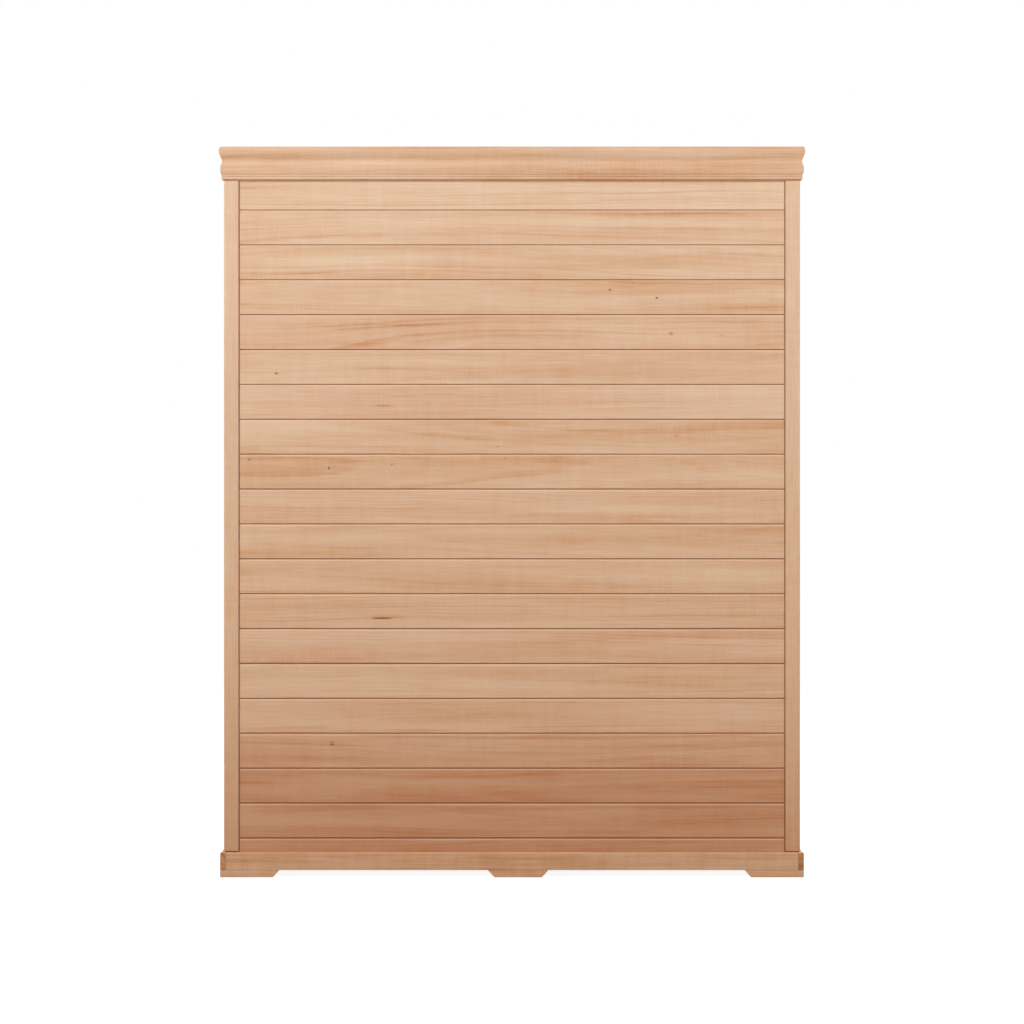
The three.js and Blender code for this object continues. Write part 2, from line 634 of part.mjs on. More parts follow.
// Magnetic catch under the header, behind the closed leaf.
const catchOutline = easedRectangle(
  CATCH.place - CATCH.width / 2, HEADER_BOTTOM - PLAY - CATCH.height,
  CATCH.place + CATCH.width / 2, HEADER_BOTTOM - PLAY, 2,
);
const doorCatch = extrude('y', catchOutline, glassBack + PLAY, glassBack + CATCH.depth);
add(cabin, 'door_catch', 'blackPlastic', doorCatch);

// Cornice: from the bottom, two small beads, a swell, a cove and a full roll at the top.
function crownSection() {
  const top = HEIGHT - CROWN_BOTTOM;
  const shape = new THREE.Shape();
  shape.moveTo(-CROWN_INSET, 0);
  shape.lineTo(4.5, 0);
  shape.quadraticCurveTo(6.4, 2.6, 5.4, 5.2);
  shape.lineTo(4.6, 6);
  shape.lineTo(4.6, 7);
  shape.quadraticCurveTo(7.2, 9, 5, 11.4);
  shape.lineTo(5.6, 12);
  shape.bezierCurveTo(9.2, 16, 9.8, 32, 6.6, 39);
  shape.bezierCurveTo(4.2, 44, 3.6, 49, 6.4, 55);
  shape.bezierCurveTo(9.5, 61.5, 16.2, 77, 8, top);
  shape.lineTo(-CROWN_INSET, top);
  return shape;
}

// The ends are mitred: a point of the section reaches as far along as it stands out.
function crown(parent, name, halfLength) {
  const geometry = extrude('x', crownSection(), -halfLength, halfLength);
  const points = geometry.attributes.position;
  for (let point = 0; point < points.count; point += 1) {
    const reach = halfLength + points.getY(point) - PLAY / 2;
    points.setX(point, Math.sign(points.getX(point)) * reach);
  }
  geometry.computeVertexNormals();
  add(parent, name, 'timber', geometry.translate(0, 0, CROWN_BOTTOM));
}

crown(backSide, 'crown_back', HALF_WIDTH);
crown(frontSide, 'crown_front', HALF_WIDTH);
crown(leftSide, 'crown_left', HALF_DEPTH);
crown(rightSide, 'crown_right', HALF_DEPTH);

// Roof panel: ceiling boards on the walls, a frame, and a cover. The vent passes through all three.
const roofX = HALF_WIDTH - CROWN_INSET - PLAY;
const roofY = HALF_DEPTH - CROWN_INSET - PLAY;
const ceilingFace = WALL_TOP + PLAY;
const ceilingTop = ceilingFace + CEILING_THICK;
const roofFrameTop = ceilingTop + PLAY + ROOF_FRAME_HEIGHT;
const coverTop = roofFrameTop + PLAY + COVER_THICK;

const ventHole = block(
  [VENT.x - VENT.width / 2, VENT.y - VENT.depth / 2, ceilingFace - OVERLAP],
  [VENT.x + VENT.width / 2, VENT.y + VENT.depth / 2, HEIGHT],
);

// Runners that hold the vent's slide under the ceiling, on both sides of the hole.
function ventRunner(side) {
  const wall = SLIDE.depth / 2 + 2 * PLAY;
  const lipTop = ceilingFace - RUNNER.headroom - SLIDE.thick - PLAY;
  const lipEdge = wall + RUNNER.wall - RUNNER.lip;
  const section = [
    [wall, ceilingFace + OVERLAP], [wall, lipTop], [lipEdge, lipTop], [lipEdge, lipTop - RUNNER.lipThick],
    [wall + RUNNER.wall, lipTop - RUNNER.lipThick], [wall + RUNNER.wall, ceilingFace + OVERLAP],
  ];
  const outline = polygon(section.map(([y, z]) => [VENT.y + side * y, z]));
  const start = VENT.x - SLIDE.width / 2 - 10;
  const end = VENT.x + SLIDE.width / 2 + VENT.travel + 10;
  return extrude('x', outline, start, end);
}

// Bays of the roof frame: left of the vent, in front of it, the vent itself, behind it, and two to the right.
function roofBays() {
  const [ventLeft, ventRight] = [VENT.x - VENT.width / 2, VENT.x + VENT.width / 2];
  const [ventFront, ventBack] = [VENT.y - VENT.depth / 2, VENT.y + VENT.depth / 2];
  const [sideX, sideY] = [roofX - ROOF_BAR_WIDTH, roofY - ROOF_BAR_WIDTH];
  const halfBar = ROOF_BAR_WIDTH / 2;
  return [
    [[-sideX, -sideY], [ventLeft - TRIMMER_WIDTH, sideY]],
    [[ventLeft, -sideY], [ventRight, ventFront - TRIMMER_WIDTH]],
    [[ventLeft, ventFront], [ventRight, ventBack]],
    [[ventLeft, ventBack + TRIMMER_WIDTH], [ventRight, sideY]],
    [[ventRight + TRIMMER_WIDTH, -sideY], [ROOF_BAR_PLACE - halfBar, sideY]],
    [[ROOF_BAR_PLACE + halfBar, -sideY], [sideX, sideY]],
  ];
}

const ceiling = join(levelBoards(roofX, roofY, ceilingFace, ceilingTop), ventRunner(-1), ventRunner(1));
const cover = block([-roofX, -roofY, roofFrameTop + PLAY], [roofX, roofY, coverTop]);
add(cabin, 'ceiling_boards', 'timber', cut(ceiling, ventHole));
const roofFrame = flatFrame(roofX, roofY, roofBays(), ceilingTop + PLAY, roofFrameTop);
add(cabin, 'roof_frame', 'plywood', roofFrame);
add(cabin, 'roof_cover', 'plywood', cut(cover, ventHole));

// Vent slide: a small board with a turned knob, on the runners.
function ventSlide() {
  const bottom = ceilingFace - RUNNER.headroom - SLIDE.thick;
  const plate = block(
    [VENT.x - SLIDE.width / 2, VENT.y - SLIDE.depth / 2, bottom],
    [VENT.x + SLIDE.width / 2, VENT.y + SLIDE.depth / 2, bottom + SLIDE.thick],
  );
  const { radius, height } = VENT_KNOB;
  const profile = new THREE.Path();
  profile.moveTo(0, -height);
  profile.lineTo(radius * 0.7, -height);
  profile.quadraticCurveTo(radius * 1.2, -height * 0.7, radius * 0.6, -height * 0.35);
  profile.quadraticCurveTo(radius * 0.5, -height * 0.15, radius * 0.7, OVERLAP);
  profile.lineTo(0, OVERLAP);
  const knob = new THREE.LatheGeometry(profile.getPoints(5), 16);
  return join(plate, knob.rotateX(Math.PI / 2).translate(VENT.x, VENT.y, bottom));
}

add(cabin, 'vent_slide', 'timber', ventSlide());

// Ceiling light: an opal dome in a round rim.
const lightProfile = new THREE.Path();
lightProfile.moveTo(0, -LIGHT.domeHeight - LIGHT.rimHeight);
lightProfile.absellipse(0, -LIGHT.rimHeight, LIGHT.dome, LIGHT.domeHeight, -Math.PI / 2, 0);
lightProfile.lineTo(LIGHT.rim, -LIGHT.rimHeight);
lightProfile.lineTo(LIGHT.rim, 0);
lightProfile.lineTo(0, 0);
const light = new THREE.LatheGeometry(lightProfile.getPoints(4), 28);
light.rotateX(Math.PI / 2).translate(0, LIGHT.y, ceilingFace - PLAY);
add(cabin, 'ceiling_light', 'opal', light);

// Supply unit on the roof cover: a steel box with side flanges, louvres and a mains inlet.
function supplyUnit() {
  const { x, y, width, depth, height, corner } = SUPPLY;
  const flange = SUPPLY_FLANGE.width;
  const base = coverTop + PLAY;
  const box = extrude('z', roundedRectangle(x, y, width, depth, corner), base, base + height, 4);
  const flangeOutline = roundedRectangle(x, y, width + 2 * flange, depth - 2 * flange, corner);
  const feet = extrude('z', flangeOutline, base, base + SUPPLY_FLANGE.thick, 4);
  const louvres = Array.from({ length: SUPPLY_LOUVRE.count }, (_, louvre) => {
    const middle = x + (louvre - (SUPPLY_LOUVRE.count - 1) / 2) * SUPPLY_LOUVRE.pitch;
    return block(
      [middle - SUPPLY_LOUVRE.width / 2, y - SUPPLY_LOUVRE.length / 2, base + height - SUPPLY_LOUVRE.depth],
      [middle + SUPPLY_LOUVRE.width / 2, y + SUPPLY_LOUVRE.length / 2, base + height + OVERLAP],
    );
  });
  const inletLow = base + (height - SUPPLY_INLET.height) / 2;
  const inletFace = y + depth / 2;
  const inlet = block(
    [x - SUPPLY_INLET.width / 2, inletFace - SUPPLY_INLET.depth, inletLow],
    [x + SUPPLY_INLET.width / 2, inletFace + OVERLAP, inletLow + SUPPLY_INLET.height],
  );
  return cut(join(box, feet), ...louvres, inlet);
}

add(cabin, 'power_unit', 'paintedSteel', supplyUnit());

// Control panel on the right-hand lining: a display recess above three sprung push buttons.
const panelBack = INNER_X - PLAY;
const panelFace = panelBack - PANEL.thick;
const buttonLevel = PANEL.z - BUTTON.drop;
const buttonPlaces = { heat_down: -1, power: 0, heat_up: 1 };

function controlPanel() {
  const outline = roundedRectangle(PANEL.y, PANEL.z, PANEL.width, PANEL.height, PANEL.corner);
  const display = roundedRectangle(
    PANEL.y, PANEL.z + DISPLAY.rise, DISPLAY.width, DISPLAY.height, DISPLAY.corner,
  );
  const pockets = Object.values(buttonPlaces).map((place) => {
    const mouth = [panelFace, PANEL.y - place * BUTTON.spacing, buttonLevel];
    return round('x', BUTTON.pocket, mouth, 2 * BUTTON.pocketDepth, 24);
  });
  const window = extrude('x', display, panelFace - OVERLAP, panelFace + DISPLAY.depth, 3);
  return cut(extrude('x', outline, panelFace, panelBack, 5), window, ...pockets);
}

function pushButton(place) {
  const { radius, height, proud } = BUTTON;
  const profile = [[0, 0], [radius, 0], [radius, height - 1], [radius - 1, height], [0, height - 0.5]];
  const geometry = new THREE.LatheGeometry(profile.map(([r, h]) => new THREE.Vector2(r, h)), 24);
  const inner = panelFace - proud + height;
  return geometry.rotateZ(Math.PI / 2).translate(inner, PANEL.y - place * BUTTON.spacing, buttonLevel);
}

add(cabin, 'control_panel', 'blackPlastic', controlPanel());
for (const [name, place] of Object.entries(buttonPlaces)) {
  add(cabin, `${name}_button`, 'buttonPlastic', pushButton(place));
}

// The outside handle stands out at the front, so the cabin is moved back to centre its footprint.
const footprint = new THREE.Box3().setFromObject(cabin);
cabin.position.y = -(footprint.min.y + footprint.max.y) / 2;

export default cabin;
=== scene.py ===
"""Looks of an infrared sauna cabin in hemlock, modelled around its CAD frame.

Metres, +Z up. The glass door is towards -Y, and the camera sees the boarded back wall from +Y.
"""

import math

import bmesh
import bpy
from mathutils import Matrix, Vector


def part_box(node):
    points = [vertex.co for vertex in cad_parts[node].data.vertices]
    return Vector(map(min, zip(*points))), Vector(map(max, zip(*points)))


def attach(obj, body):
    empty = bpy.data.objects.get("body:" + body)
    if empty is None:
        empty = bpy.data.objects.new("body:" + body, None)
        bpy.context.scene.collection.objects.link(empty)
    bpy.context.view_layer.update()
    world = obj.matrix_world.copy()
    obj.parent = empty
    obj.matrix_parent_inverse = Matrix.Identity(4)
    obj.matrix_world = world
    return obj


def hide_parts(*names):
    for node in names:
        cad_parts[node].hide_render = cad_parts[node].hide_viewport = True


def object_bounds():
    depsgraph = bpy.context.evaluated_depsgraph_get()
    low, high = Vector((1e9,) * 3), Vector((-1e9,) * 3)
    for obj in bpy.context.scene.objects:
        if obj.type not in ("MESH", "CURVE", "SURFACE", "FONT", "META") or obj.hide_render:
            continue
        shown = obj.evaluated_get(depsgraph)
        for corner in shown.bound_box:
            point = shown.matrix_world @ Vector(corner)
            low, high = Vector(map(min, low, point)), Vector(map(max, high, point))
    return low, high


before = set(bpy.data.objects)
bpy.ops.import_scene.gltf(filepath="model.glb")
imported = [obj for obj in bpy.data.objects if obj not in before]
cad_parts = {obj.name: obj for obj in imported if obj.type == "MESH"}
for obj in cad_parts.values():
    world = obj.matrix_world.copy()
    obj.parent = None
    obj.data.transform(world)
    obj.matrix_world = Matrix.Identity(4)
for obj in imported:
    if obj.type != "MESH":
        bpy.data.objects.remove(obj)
cad_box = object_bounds()
scene = bpy.context.scene

# Camera and stage
CAMERA_DISTANCE = 6.0
VIEW_HEIGHT = 2.6655
SENSOR = 0.036
FLOOR_REACH = 40.0
FLOOR_PLAY = 0.0004

# Boards of the walls. The seams narrow from the lowest to the highest. An eased edge has a depth and a
# height. The tongues at the ends of the boards reach out by a share of the wall's length.
BOARD_PITCH = 0.0909
FIRST_SEAM = 0.1005
BOARD_COUNT = 20
BOARD_THICK = 0.010
BOARD_SET_BACK = 0.00045
BOARD_PLAY = 0.00035
BOARD_END_GAP = 0.0026
SEAM_GAP = (0.0034, 0.0015)
SEAM_WAVER = 0.0003
SEAM_DEPTH = 0.0034
LOW_EASE = (0.0010, 0.0010)
HIGH_EASE = (0.0022, 0.0038)
TONGUE_REACH = 0.0045
TONGUE_FACE = 0.0038
TONGUE_BACK = 0.0090
END_TONGUE_SHARE = 0.0075
STILE_GROOVE = 0.008
STILE_BOTTOM = 0.067
ARRIS = 0.0009

# Strips under the cornice
BED_PLAY = 0.0001
BED_SET_BACK = 0.0012
BED_DEPTH = 0.006

# Bench, backrest and heating panels
BENCH_SLAT_PITCH = 0.086
GUARD_SLAT_PITCH = 0.081
GUARD_GRAIN_DROP = 0.0185
SLAT_EASE = 0.0012
APRON_FRAME = 0.060
APRON_SLAT = {"width": 0.034, "thick": 0.012, "pitch": 0.053, "count": 6, "ease": 0.002}
APRON_GRAIN_START = 0.029
HEATER_RIM = 0.011
HEATER_SINK = 0.0012
THREAD_PITCH = 0.0042
TRACK_PITCH = 0.026

# Door fittings. An outline for turning has pairs of a radius, or a share of one, and a height.
GRIP_RADIUS = 0.013
GRIP_BELLY = 0.0148
GRIP_END = ((0.45, 0.0), (0.75, 0.0012), (0.94, 0.0036), (1.0, 0.0075))
HANDLE_STAND_OFF = 0.036
HANDLE_SPACING = 0.280
HANDLE_PLAY = 0.0003
POST_RADIUS = 0.0078
POST_FILLET = (0.001, 0.0012)
POST_END_SHARE = 0.6
ROSETTE_RADIUS = 0.0125
ROSETTE_THICK = 0.0032
ROSETTE_CHAMFER = 0.001
PANE_EASE = 0.0006
HINGE_EASE = 0.0004
CATCH_EASE = 0.0008
SCREW_RADIUS = 0.0042
SCREW_HEAD = ((1.0, -0.0003), (1.0, 0.0006), (0.92, 0.0012), (0.62, 0.0016))
SCREW_SOCKET = ((0.62, 0.0016), (0.48, 0.0016), (0.46, 0.0005), (0.0, 0.0005))
PLATE_SCREW = {"inset": 0.014, "rise": 0.019, "sink": 0.0032}
CLAMP_SCREW = {"inset": 0.014, "rise": 0.017, "proud": 0.0045}

# Ceiling light and vent slide. The section of the rim has steps in from its edge, and heights.
LIGHT_RIM = 0.007
LIGHT_LAP = 0.001
LIGHT_DROP = 0.022
LIGHT_SECTION = ((0.001, 0.0), (0.0, 0.001), (0.0, 0.005), (0.0012, 0.0066), (0.003, 0.0072))
VENT_BOARD = 0.008
KNOB_SINK = 0.0002
VENT_KNOB = (
    (0.0080, 0.0), (0.0066, 0.0022), (0.0062, 0.0040), (0.0072, 0.0062), (0.0096, 0.0086),
    (0.0106, 0.0112), (0.0100, 0.0140), (0.0080, 0.0160), (0.0045, 0.0171), (0.0, 0.0172),
)

# Supply unit. An inlet's back and front are measured in from the face of the unit.
SUPPLY_EASE = 0.0005
SUPPLY_SCREW = {"from_side": 0.011, "from_end": 0.050, "level": 0.0025}
INLET = {"level": 0.019, "half_width": 0.0135, "half_height": 0.0105, "back": 0.0135, "front": 0.011}
PIN = {"spacing": 0.007, "half_width": 0.001, "half_height": 0.002, "back": 0.0115, "front": 0.003}
PIN_LEVELS = {-1: 0.0015, 0: -0.003, 1: 0.0015}
PIN_EASE = 0.0003

# Control panel and buttons. Near and far are measured in from the front of the panel or the button.
DISPLAY = {"above": 0.020, "half_width": 0.0612, "half_height": 0.0192, "near": 0.0004, "far": 0.0018}
DISPLAY_EASE = 0.0006
LEVEL_BAR = {"count": 5, "pitch": 0.016, "half_width": 0.0042, "near": 0.0002, "far": 0.0008}
LEVEL_DROP = 0.009
LEVEL_HEIGHT = (0.004, 0.0018)
MARK = {"reach": 0.0038, "half": 0.0006, "near": 0.0002, "far": 0.0016}
PRINT_EASE = 0.0002
POWER_RING = (0.0027, 0.0036)
POWER_STROKE = {"lift": 0.002, "half": 0.0022}

# Knots and flecks on the back wall: x, z, half length, half height and darkness
BACK_KNOTS = (
    (0.338, 0.673, 0.024, 0.0020, 1.50),
    (0.330, 0.678, 0.050, 0.0055, 0.28),
    (0.469, 0.347, 0.0065, 0.0065, 0.50),
    (-0.255, 1.529, 0.0032, 0.0030, 0.85),
    (-0.377, 1.508, 0.0036, 0.0034, 0.95),
    (-0.414, 1.415, 0.0065, 0.0050, 0.50),
    (-0.547, 1.410, 0.0070, 0.0026, 0.30),
    (0.614, 1.311, 0.0050, 0.0026, 0.95),
    (0.336, 1.227, 0.024, 0.0026, 0.42),
    (0.252, 0.381, 0.085, 0.0050, 0.30),
    (0.555, 0.389, 0.090, 0.0040, 0.26),
    (-0.427, 1.149, 0.0050, 0.0032, 0.35),
    (0.685, 1.087, 0.0030, 0.0022, 0.60),
    (0.477, 1.064, 0.0026, 0.0034, 0.90),
    (0.313, 1.074, 0.0026, 0.0024, 0.60),
    (0.193, 1.058, 0.0022, 0.0022, 0.45),
    (0.037, 1.121, 0.0022, 0.0024, 0.55),
    (0.018, 1.090, 0.0024, 0.0022, 0.40),
)


def rgb(red, green, blue):
    return (red, green, blue, 1.0)


WHITE = rgb(1.0, 1.0, 1.0)

# Hemlock from pale sapwood through honey to red-brown heartwood
HEMLOCK = (
    (0.00, rgb(0.745, 0.560, 0.400)),
    (0.30, rgb(0.690, 0.470, 0.315)),
    (0.55, rgb(0.638, 0.385, 0.228)),
    (0.80, rgb(0.548, 0.275, 0.138)),
    (1.00, rgb(0.310, 0.125, 0.056)),
)

# Tints on hemlock: the depths at which a joint turns brown (partly raw wood, partly painted shade), a
# painted highlight on
# # eased edges that face up, the boards nearest the ground (partly redder wood, partly painted shade),
# painted shade over the lower part of a wall, and the pinker boards
JOINT_SHADE_BROWN = rgb(0.40, 0.16, 0.075)
JOINT_SHADE = (0.0027, 0.0035)
ARRIS_HIGHLIGHT = rgb(0.86, 0.66, 0.48)
GROUND_RED_AND_SHADE = rgb(0.82, 0.68, 0.60)
LOW_PAINTED_SHADE = rgb(0.93, 0.82, 0.74)
PAINTED_SHADE_TOP = 1.8
BOARD_PINK = rgb(1.0, 0.965, 0.985)

# Grain of hemlock
RINGS_PER_METRE = 115.0
PLANER_PITCH = 0.0125


class Field:
    """A value over a surface: a node's socket, whose operators add Math nodes."""

    def __init__(self, finish, socket):
        self.finish = finish
        self.socket = socket

    def output(self, name):
        found = [s for s in self.socket.node.outputs if s.enabled and s.name == name]
        return Field(self.finish, found[0])

    def __add__(self, other):
        return self.finish.math("ADD", self, other)

    __radd__ = __add__

    def __sub__(self, other):
        return self.finish.math("SUBTRACT", self, other)

    def __rsub__(self, other):
        return self.finish.math("SUBTRACT", other, self)

    def __mul__(self, other):
        return self.finish.math("MULTIPLY", self, other)

    __rmul__ = __mul__

    def __truediv__(self, other):
        return self.finish.math("DIVIDE", self, other)

    def __pow__(self, other):
        return self.finish.math("POWER", self, other)

    def __abs__(self):
        return self.finish.math("ABSOLUTE", self)


class Finish:
    """A node tree that is filled by expressions on fields."""

    def __init__(self, tree, material=None):
        self.tree = tree
        self.material = material
        tree.nodes.clear()

    def node(self, kind, settings, sockets):
        """Adds a node, with its settings first and then the values or links of its sockets."""
        made = self.tree.nodes.new(kind)
        for key, value in settings.items():
            if key == "stops":
                self.set_stops(made.color_ramp, value)
            else:
                setattr(made, key, value)
        for key, value in sockets.items():
            socket = next(s for s in made.inputs if key in (s.identifier, s.name) and s.enabled)
            if isinstance(value, Field):
                self.tree.links.new(value.socket, socket)
            else:
                socket.default_value = value
        outputs = [s for s in made.outputs if s.enabled]
        return Field(self, outputs[0]) if outputs else None

    @staticmethod
    def set_stops(ramp, stops):
        while len(ramp.elements) < len(stops):
            ramp.elements.new(1.0)
        for element, (position, colour) in zip(ramp.elements, stops):
            element.position = position
            element.color = colour

    def math(self, operation, *values):
        sockets = dict(zip(("Value", "Value_001"), values))
        return self.node("ShaderNodeMath", {"operation": operation}, sockets)

    def vector_math(self, operation, first, second):
        sockets = {"Vector": first, "Vector_001": second}
        return self.node("ShaderNodeVectorMath", {"operation": operation}, sockets)

    def vector(self, x, y, z):
        return self.node("ShaderNodeCombineXYZ", {}, {"X": x, "Y": y, "Z": z})

    def split(self, vector):
        parts = self.node("ShaderNodeSeparateXYZ", {}, {"Vector": vector})
        return {axis.lower(): parts.output(axis) for axis in "XYZ"}

    def place(self):
        return self.node("ShaderNodeTexCoord", {}, {}).output("Object")

    def normal(self):
        return self.node("ShaderNodeTexCoord", {}, {}).output("Normal")

    def step(self, value, low, high):
        """Rises smoothly from 0 at low to 1 at high."""
        settings = {"interpolation_type": "SMOOTHSTEP"}
        return self.node("ShaderNodeMapRange", settings, {"Value": value, "From Min": low, "From Max": high})

    def noise(self, vector, scale=1.0, detail=2.0, roughness=0.5):
        sockets = {"Vector": vector, "Scale": scale, "Detail": detail, "Roughness": roughness}
        return self.node("ShaderNodeTexNoise", {}, sockets)

    def random(self, number):
        return self.node("ShaderNodeTexWhiteNoise", {"noise_dimensions": "1D"}, {"W": number})

    def ramp(self, value, stops):
        return self.node("ShaderNodeValToRGB", {"stops": stops}, {"Fac": value})

    def mix(self, factor, first, second, blend="MIX"):
        settings = {"data_type": "RGBA", "blend_type": blend}
        sockets = {"Factor_Float": factor, "A_Color": first, "B_Color": second}
        return self.node("ShaderNodeMix", settings, sockets)

    def bump(self, height, strength, distance):
        sockets = {"Height": height, "Strength": strength, "Distance": distance}
        return self.node("ShaderNodeBump", {}, sockets)

    def principled(self, sockets):
        return self.node("ShaderNodeBsdfPrincipled", {}, sockets)

    def show(self, shader):
        self.node("ShaderNodeOutputMaterial", {}, {"Surface": shader})


def new_finish(name):
    material = bpy.data.materials.new(name)
    material.use_nodes = True
    return Finish(material.node_tree, material)


def centre(node):
    """The middle of a CAD node's box."""
    low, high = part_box(node)
    return (low + high) / 2


# Materials

def cell(finish, value, start, pitch):
    """The number of the board that a place is in, and the place from that board's middle."""
    number = finish.math("FLOOR", (value - start) / pitch)
    return number, value - (number + 0.5) * pitch - start


def knot_field(finish, place, knots):
    """Dark spots and streaks at places on the back wall."""
    total = 0.0
    for x, z, half_length, half_height, darkness in knots:
        away = finish.vector_math("SUBTRACT", place, (x, 0.0, z))
        scaled = finish.vector_math("MULTIPLY", away, (1 / half_length, 0.0, 1 / half_height))
        square = finish.vector_math("DOT_PRODUCT", scaled, scaled).output("Value")
        total = finish.math("EXPONENT", square * square * -1.0) * darkness + total
    return total


def hemlock(name, along, across, behind, tone=0.25, figure=1.0, ground=None, joints=None, knots=(),
            turning=False):
    """Planed hemlock: growth rings cut lengthwise, honey streaks, fine fibre and end grain.

    across and behind give the axis, start and pitch of the boards; each board is another cut of timber.
    ground is how much redder the wood gets towards the ground, and between which heights; that redness is
    partly painted shade, and with it the wood also gets painted shade that deepens down the wall. joints is
    the axis and level of a boarded face: its eased edges that face up get a painted highlight, and its
    joints darken with depth, partly as painted shade.
    turning lets the grain follow a corner.
    """
    finish = new_finish(name)
    place = finish.place()
    axes = finish.split(place)
    facing = finish.split(finish.normal())
    run = axes[along]
    if turning:
        sideways = finish.step(abs(facing["x"]), 0.5, 0.8)
        run = axes["x"] + (axes["y"] - axes["x"]) * sideways
    number, width = cell(finish, axes[across[0]], *across[1:])
    layer, depth = cell(finish, axes[behind[0]], *behind[1:])
    seed = number * 3.17 + layer * 17.31 + 0.5
    dice = finish.split(finish.random(seed).output("Color"))
    run = run + dice["x"] * 11.0

    def grain(length, breadth, shift=0.0, detail=2.0, roughness=0.5):
        """Noise drawn out along the grain, by its features per metre along and across."""
        spot = finish.vector(run * length, width * breadth + shift, depth * breadth)
        return finish.noise(spot, 1.0, detail, roughness)

    wander = finish.noise(finish.vector(run * 0.75, seed, 0.3))
    taper = finish.noise(finish.vector(run * 0.55, seed, 7.7), detail=1.0)
    side = width + (dice["y"] - 0.5) * 0.16 + (wander - 0.5) * 0.06
    back = depth + 0.025 + dice["z"] * 0.11 + (taper - 0.5) * 0.14
    radius = finish.math("SQRT", side * side + back * back)
    phase = radius * RINGS_PER_METRE + grain(1.6, 26.0) * 1.5
    ring = finish.math("FLOOR", phase)
    late = finish.step(phase - ring, 0.10, 0.85) * (1 - finish.step(phase - ring, 0.86, 1.0))
    bold = finish.random(ring + seed * 13.0)
    fade = finish.noise(finish.vector(run * 1.5, ring * 7.3 + seed, 2.0), detail=1.0)
    rings = late * (0.15 + bold * bold * 1.1) * (0.25 + finish.step(fade, 0.36, 0.66))

    bands = finish.noise(finish.vector(radius * 46.0, seed * 3.0, run * 0.35))
    streak = grain(1.3, 24.0, seed * 5.0, 3.0)
    honey = finish.step(grain(1.9, 75.0, seed), 0.58, 0.80)
    fibre = grain(9.0, 420.0, detail=3.0, roughness=0.6)
    shimmer = grain(55.0, 11.0, seed)
    patch = finish.noise(finish.vector(run * 2.2, width * 20.0 + seed, 5.0), detail=1.0)
    chatter = finish.math("SINE", run * (2 * math.pi / PLANER_PITCH)) * finish.step(patch, 0.50, 0.70)

    shade = tone + (dice["z"] - 0.5) * 0.13
    shade = shade + (streak - 0.5) * figure + (bands - 0.5) * 0.42 * figure
    shade = shade + rings * 0.22 * figure + honey * 0.18 * figure
    shade = shade + (fibre - 0.5) * 0.74 + (shimmer - 0.5) * 0.22 + chatter * 0.022
    end = finish.step(abs(facing[along]), 0.72, 0.9)
    if not turning:
        shade = shade + end * (0.31 + rings * 0.15)
    if knots:
        shade = shade + knot_field(finish, place, knots) * 0.9
    if ground:
        level = axes["z"]
        if across[0] == "z":
            level = (number + 0.5) * across[2] + across[1]
        redder = (1 - finish.step(level, *ground[1:])) * ground[0]
        shade = shade + redder * ((streak - 0.5) * 0.5 + honey * 0.12)
    colour = finish.ramp(shade, HEMLOCK)
    if ground:
        # Painted shade: the wood darkens and warms from the top of a wall down, and the boards nearest the
        # ground are tinted redder, partly as painted shade
        painted_falloff = finish.mix(1 - axes["z"] / PAINTED_SHADE_TOP, WHITE, LOW_PAINTED_SHADE)
        colour = finish.mix(1.0, colour, painted_falloff, "MULTIPLY")
        colour = finish.mix(1.0, colour, finish.mix(redder, WHITE, GROUND_RED_AND_SHADE), "MULTIPLY")
    if joints:
        # Painted highlight: eased edges that face up are made paler, as if lit from above
        edge = finish.step(facing["z"], 0.25, 0.45)
        colour = finish.mix(edge * 0.22, colour, ARRIS_HIGHLIGHT)
        # Painted shade: the deeper into a joint, the browner, standing for the shade there as well as the
        # redder raw wood
        hidden = joints[1] - abs(axes[joints[0]])
        colour = finish.mix(finish.step(hidden, *JOINT_SHADE) * 0.8, colour, JOINT_SHADE_BROWN)
    pink = finish.mix((dice["y"] - 0.35) * 0.9, WHITE, BOARD_PINK)
    colour = finish.mix(1.0, colour, pink, "MULTIPLY")

    relief = fibre * 0.5 + rings * 0.35 + streak * 0.2 + chatter * 0.12
    finish.show(finish.principled({
        "Base Color": colour,
        "Roughness": 0.46 + streak * 0.12 + fibre * 0.08 + end * 0.12,
        "Specular IOR Level": 0.24,
        "Normal": finish.bump(relief, 0.22, 0.0006),
    }))
    return finish


def roofing_plywood(name):
    """Rotary-cut plywood: wide, wandering figure and fine pores."""
    finish = new_finish(name)
    axes = finish.split(finish.place())
    x, y, z = axes["x"], axes["y"], axes["z"]
    warp = finish.noise(finish.vector(x * 1.2, y * 4.0, z * 4.0), detail=3.0)
    bands = finish.noise(finish.vector(x * 0.8 + warp * 0.7, y * 16.0 + warp * 6.0, 0.0), detail=3.0)
    pores = finish.noise(finish.vector(x * 30.0, y * 600.0, z * 600.0))
    colour = finish.ramp(bands * 0.8 + pores * 0.2, (
        (0.20, rgb(0.640, 0.450, 0.270)),
        (0.50, rgb(0.560, 0.380, 0.215)),
        (0.80, rgb(0.440, 0.275, 0.145)),
    ))
    finish.show(finish.principled({
        "Base Color": colour,
        "Roughness": 0.62 + pores * 0.2,
        "Normal": finish.bump(pores + bands * 0.6, 0.3, 0.0008),
    }))
    return finish


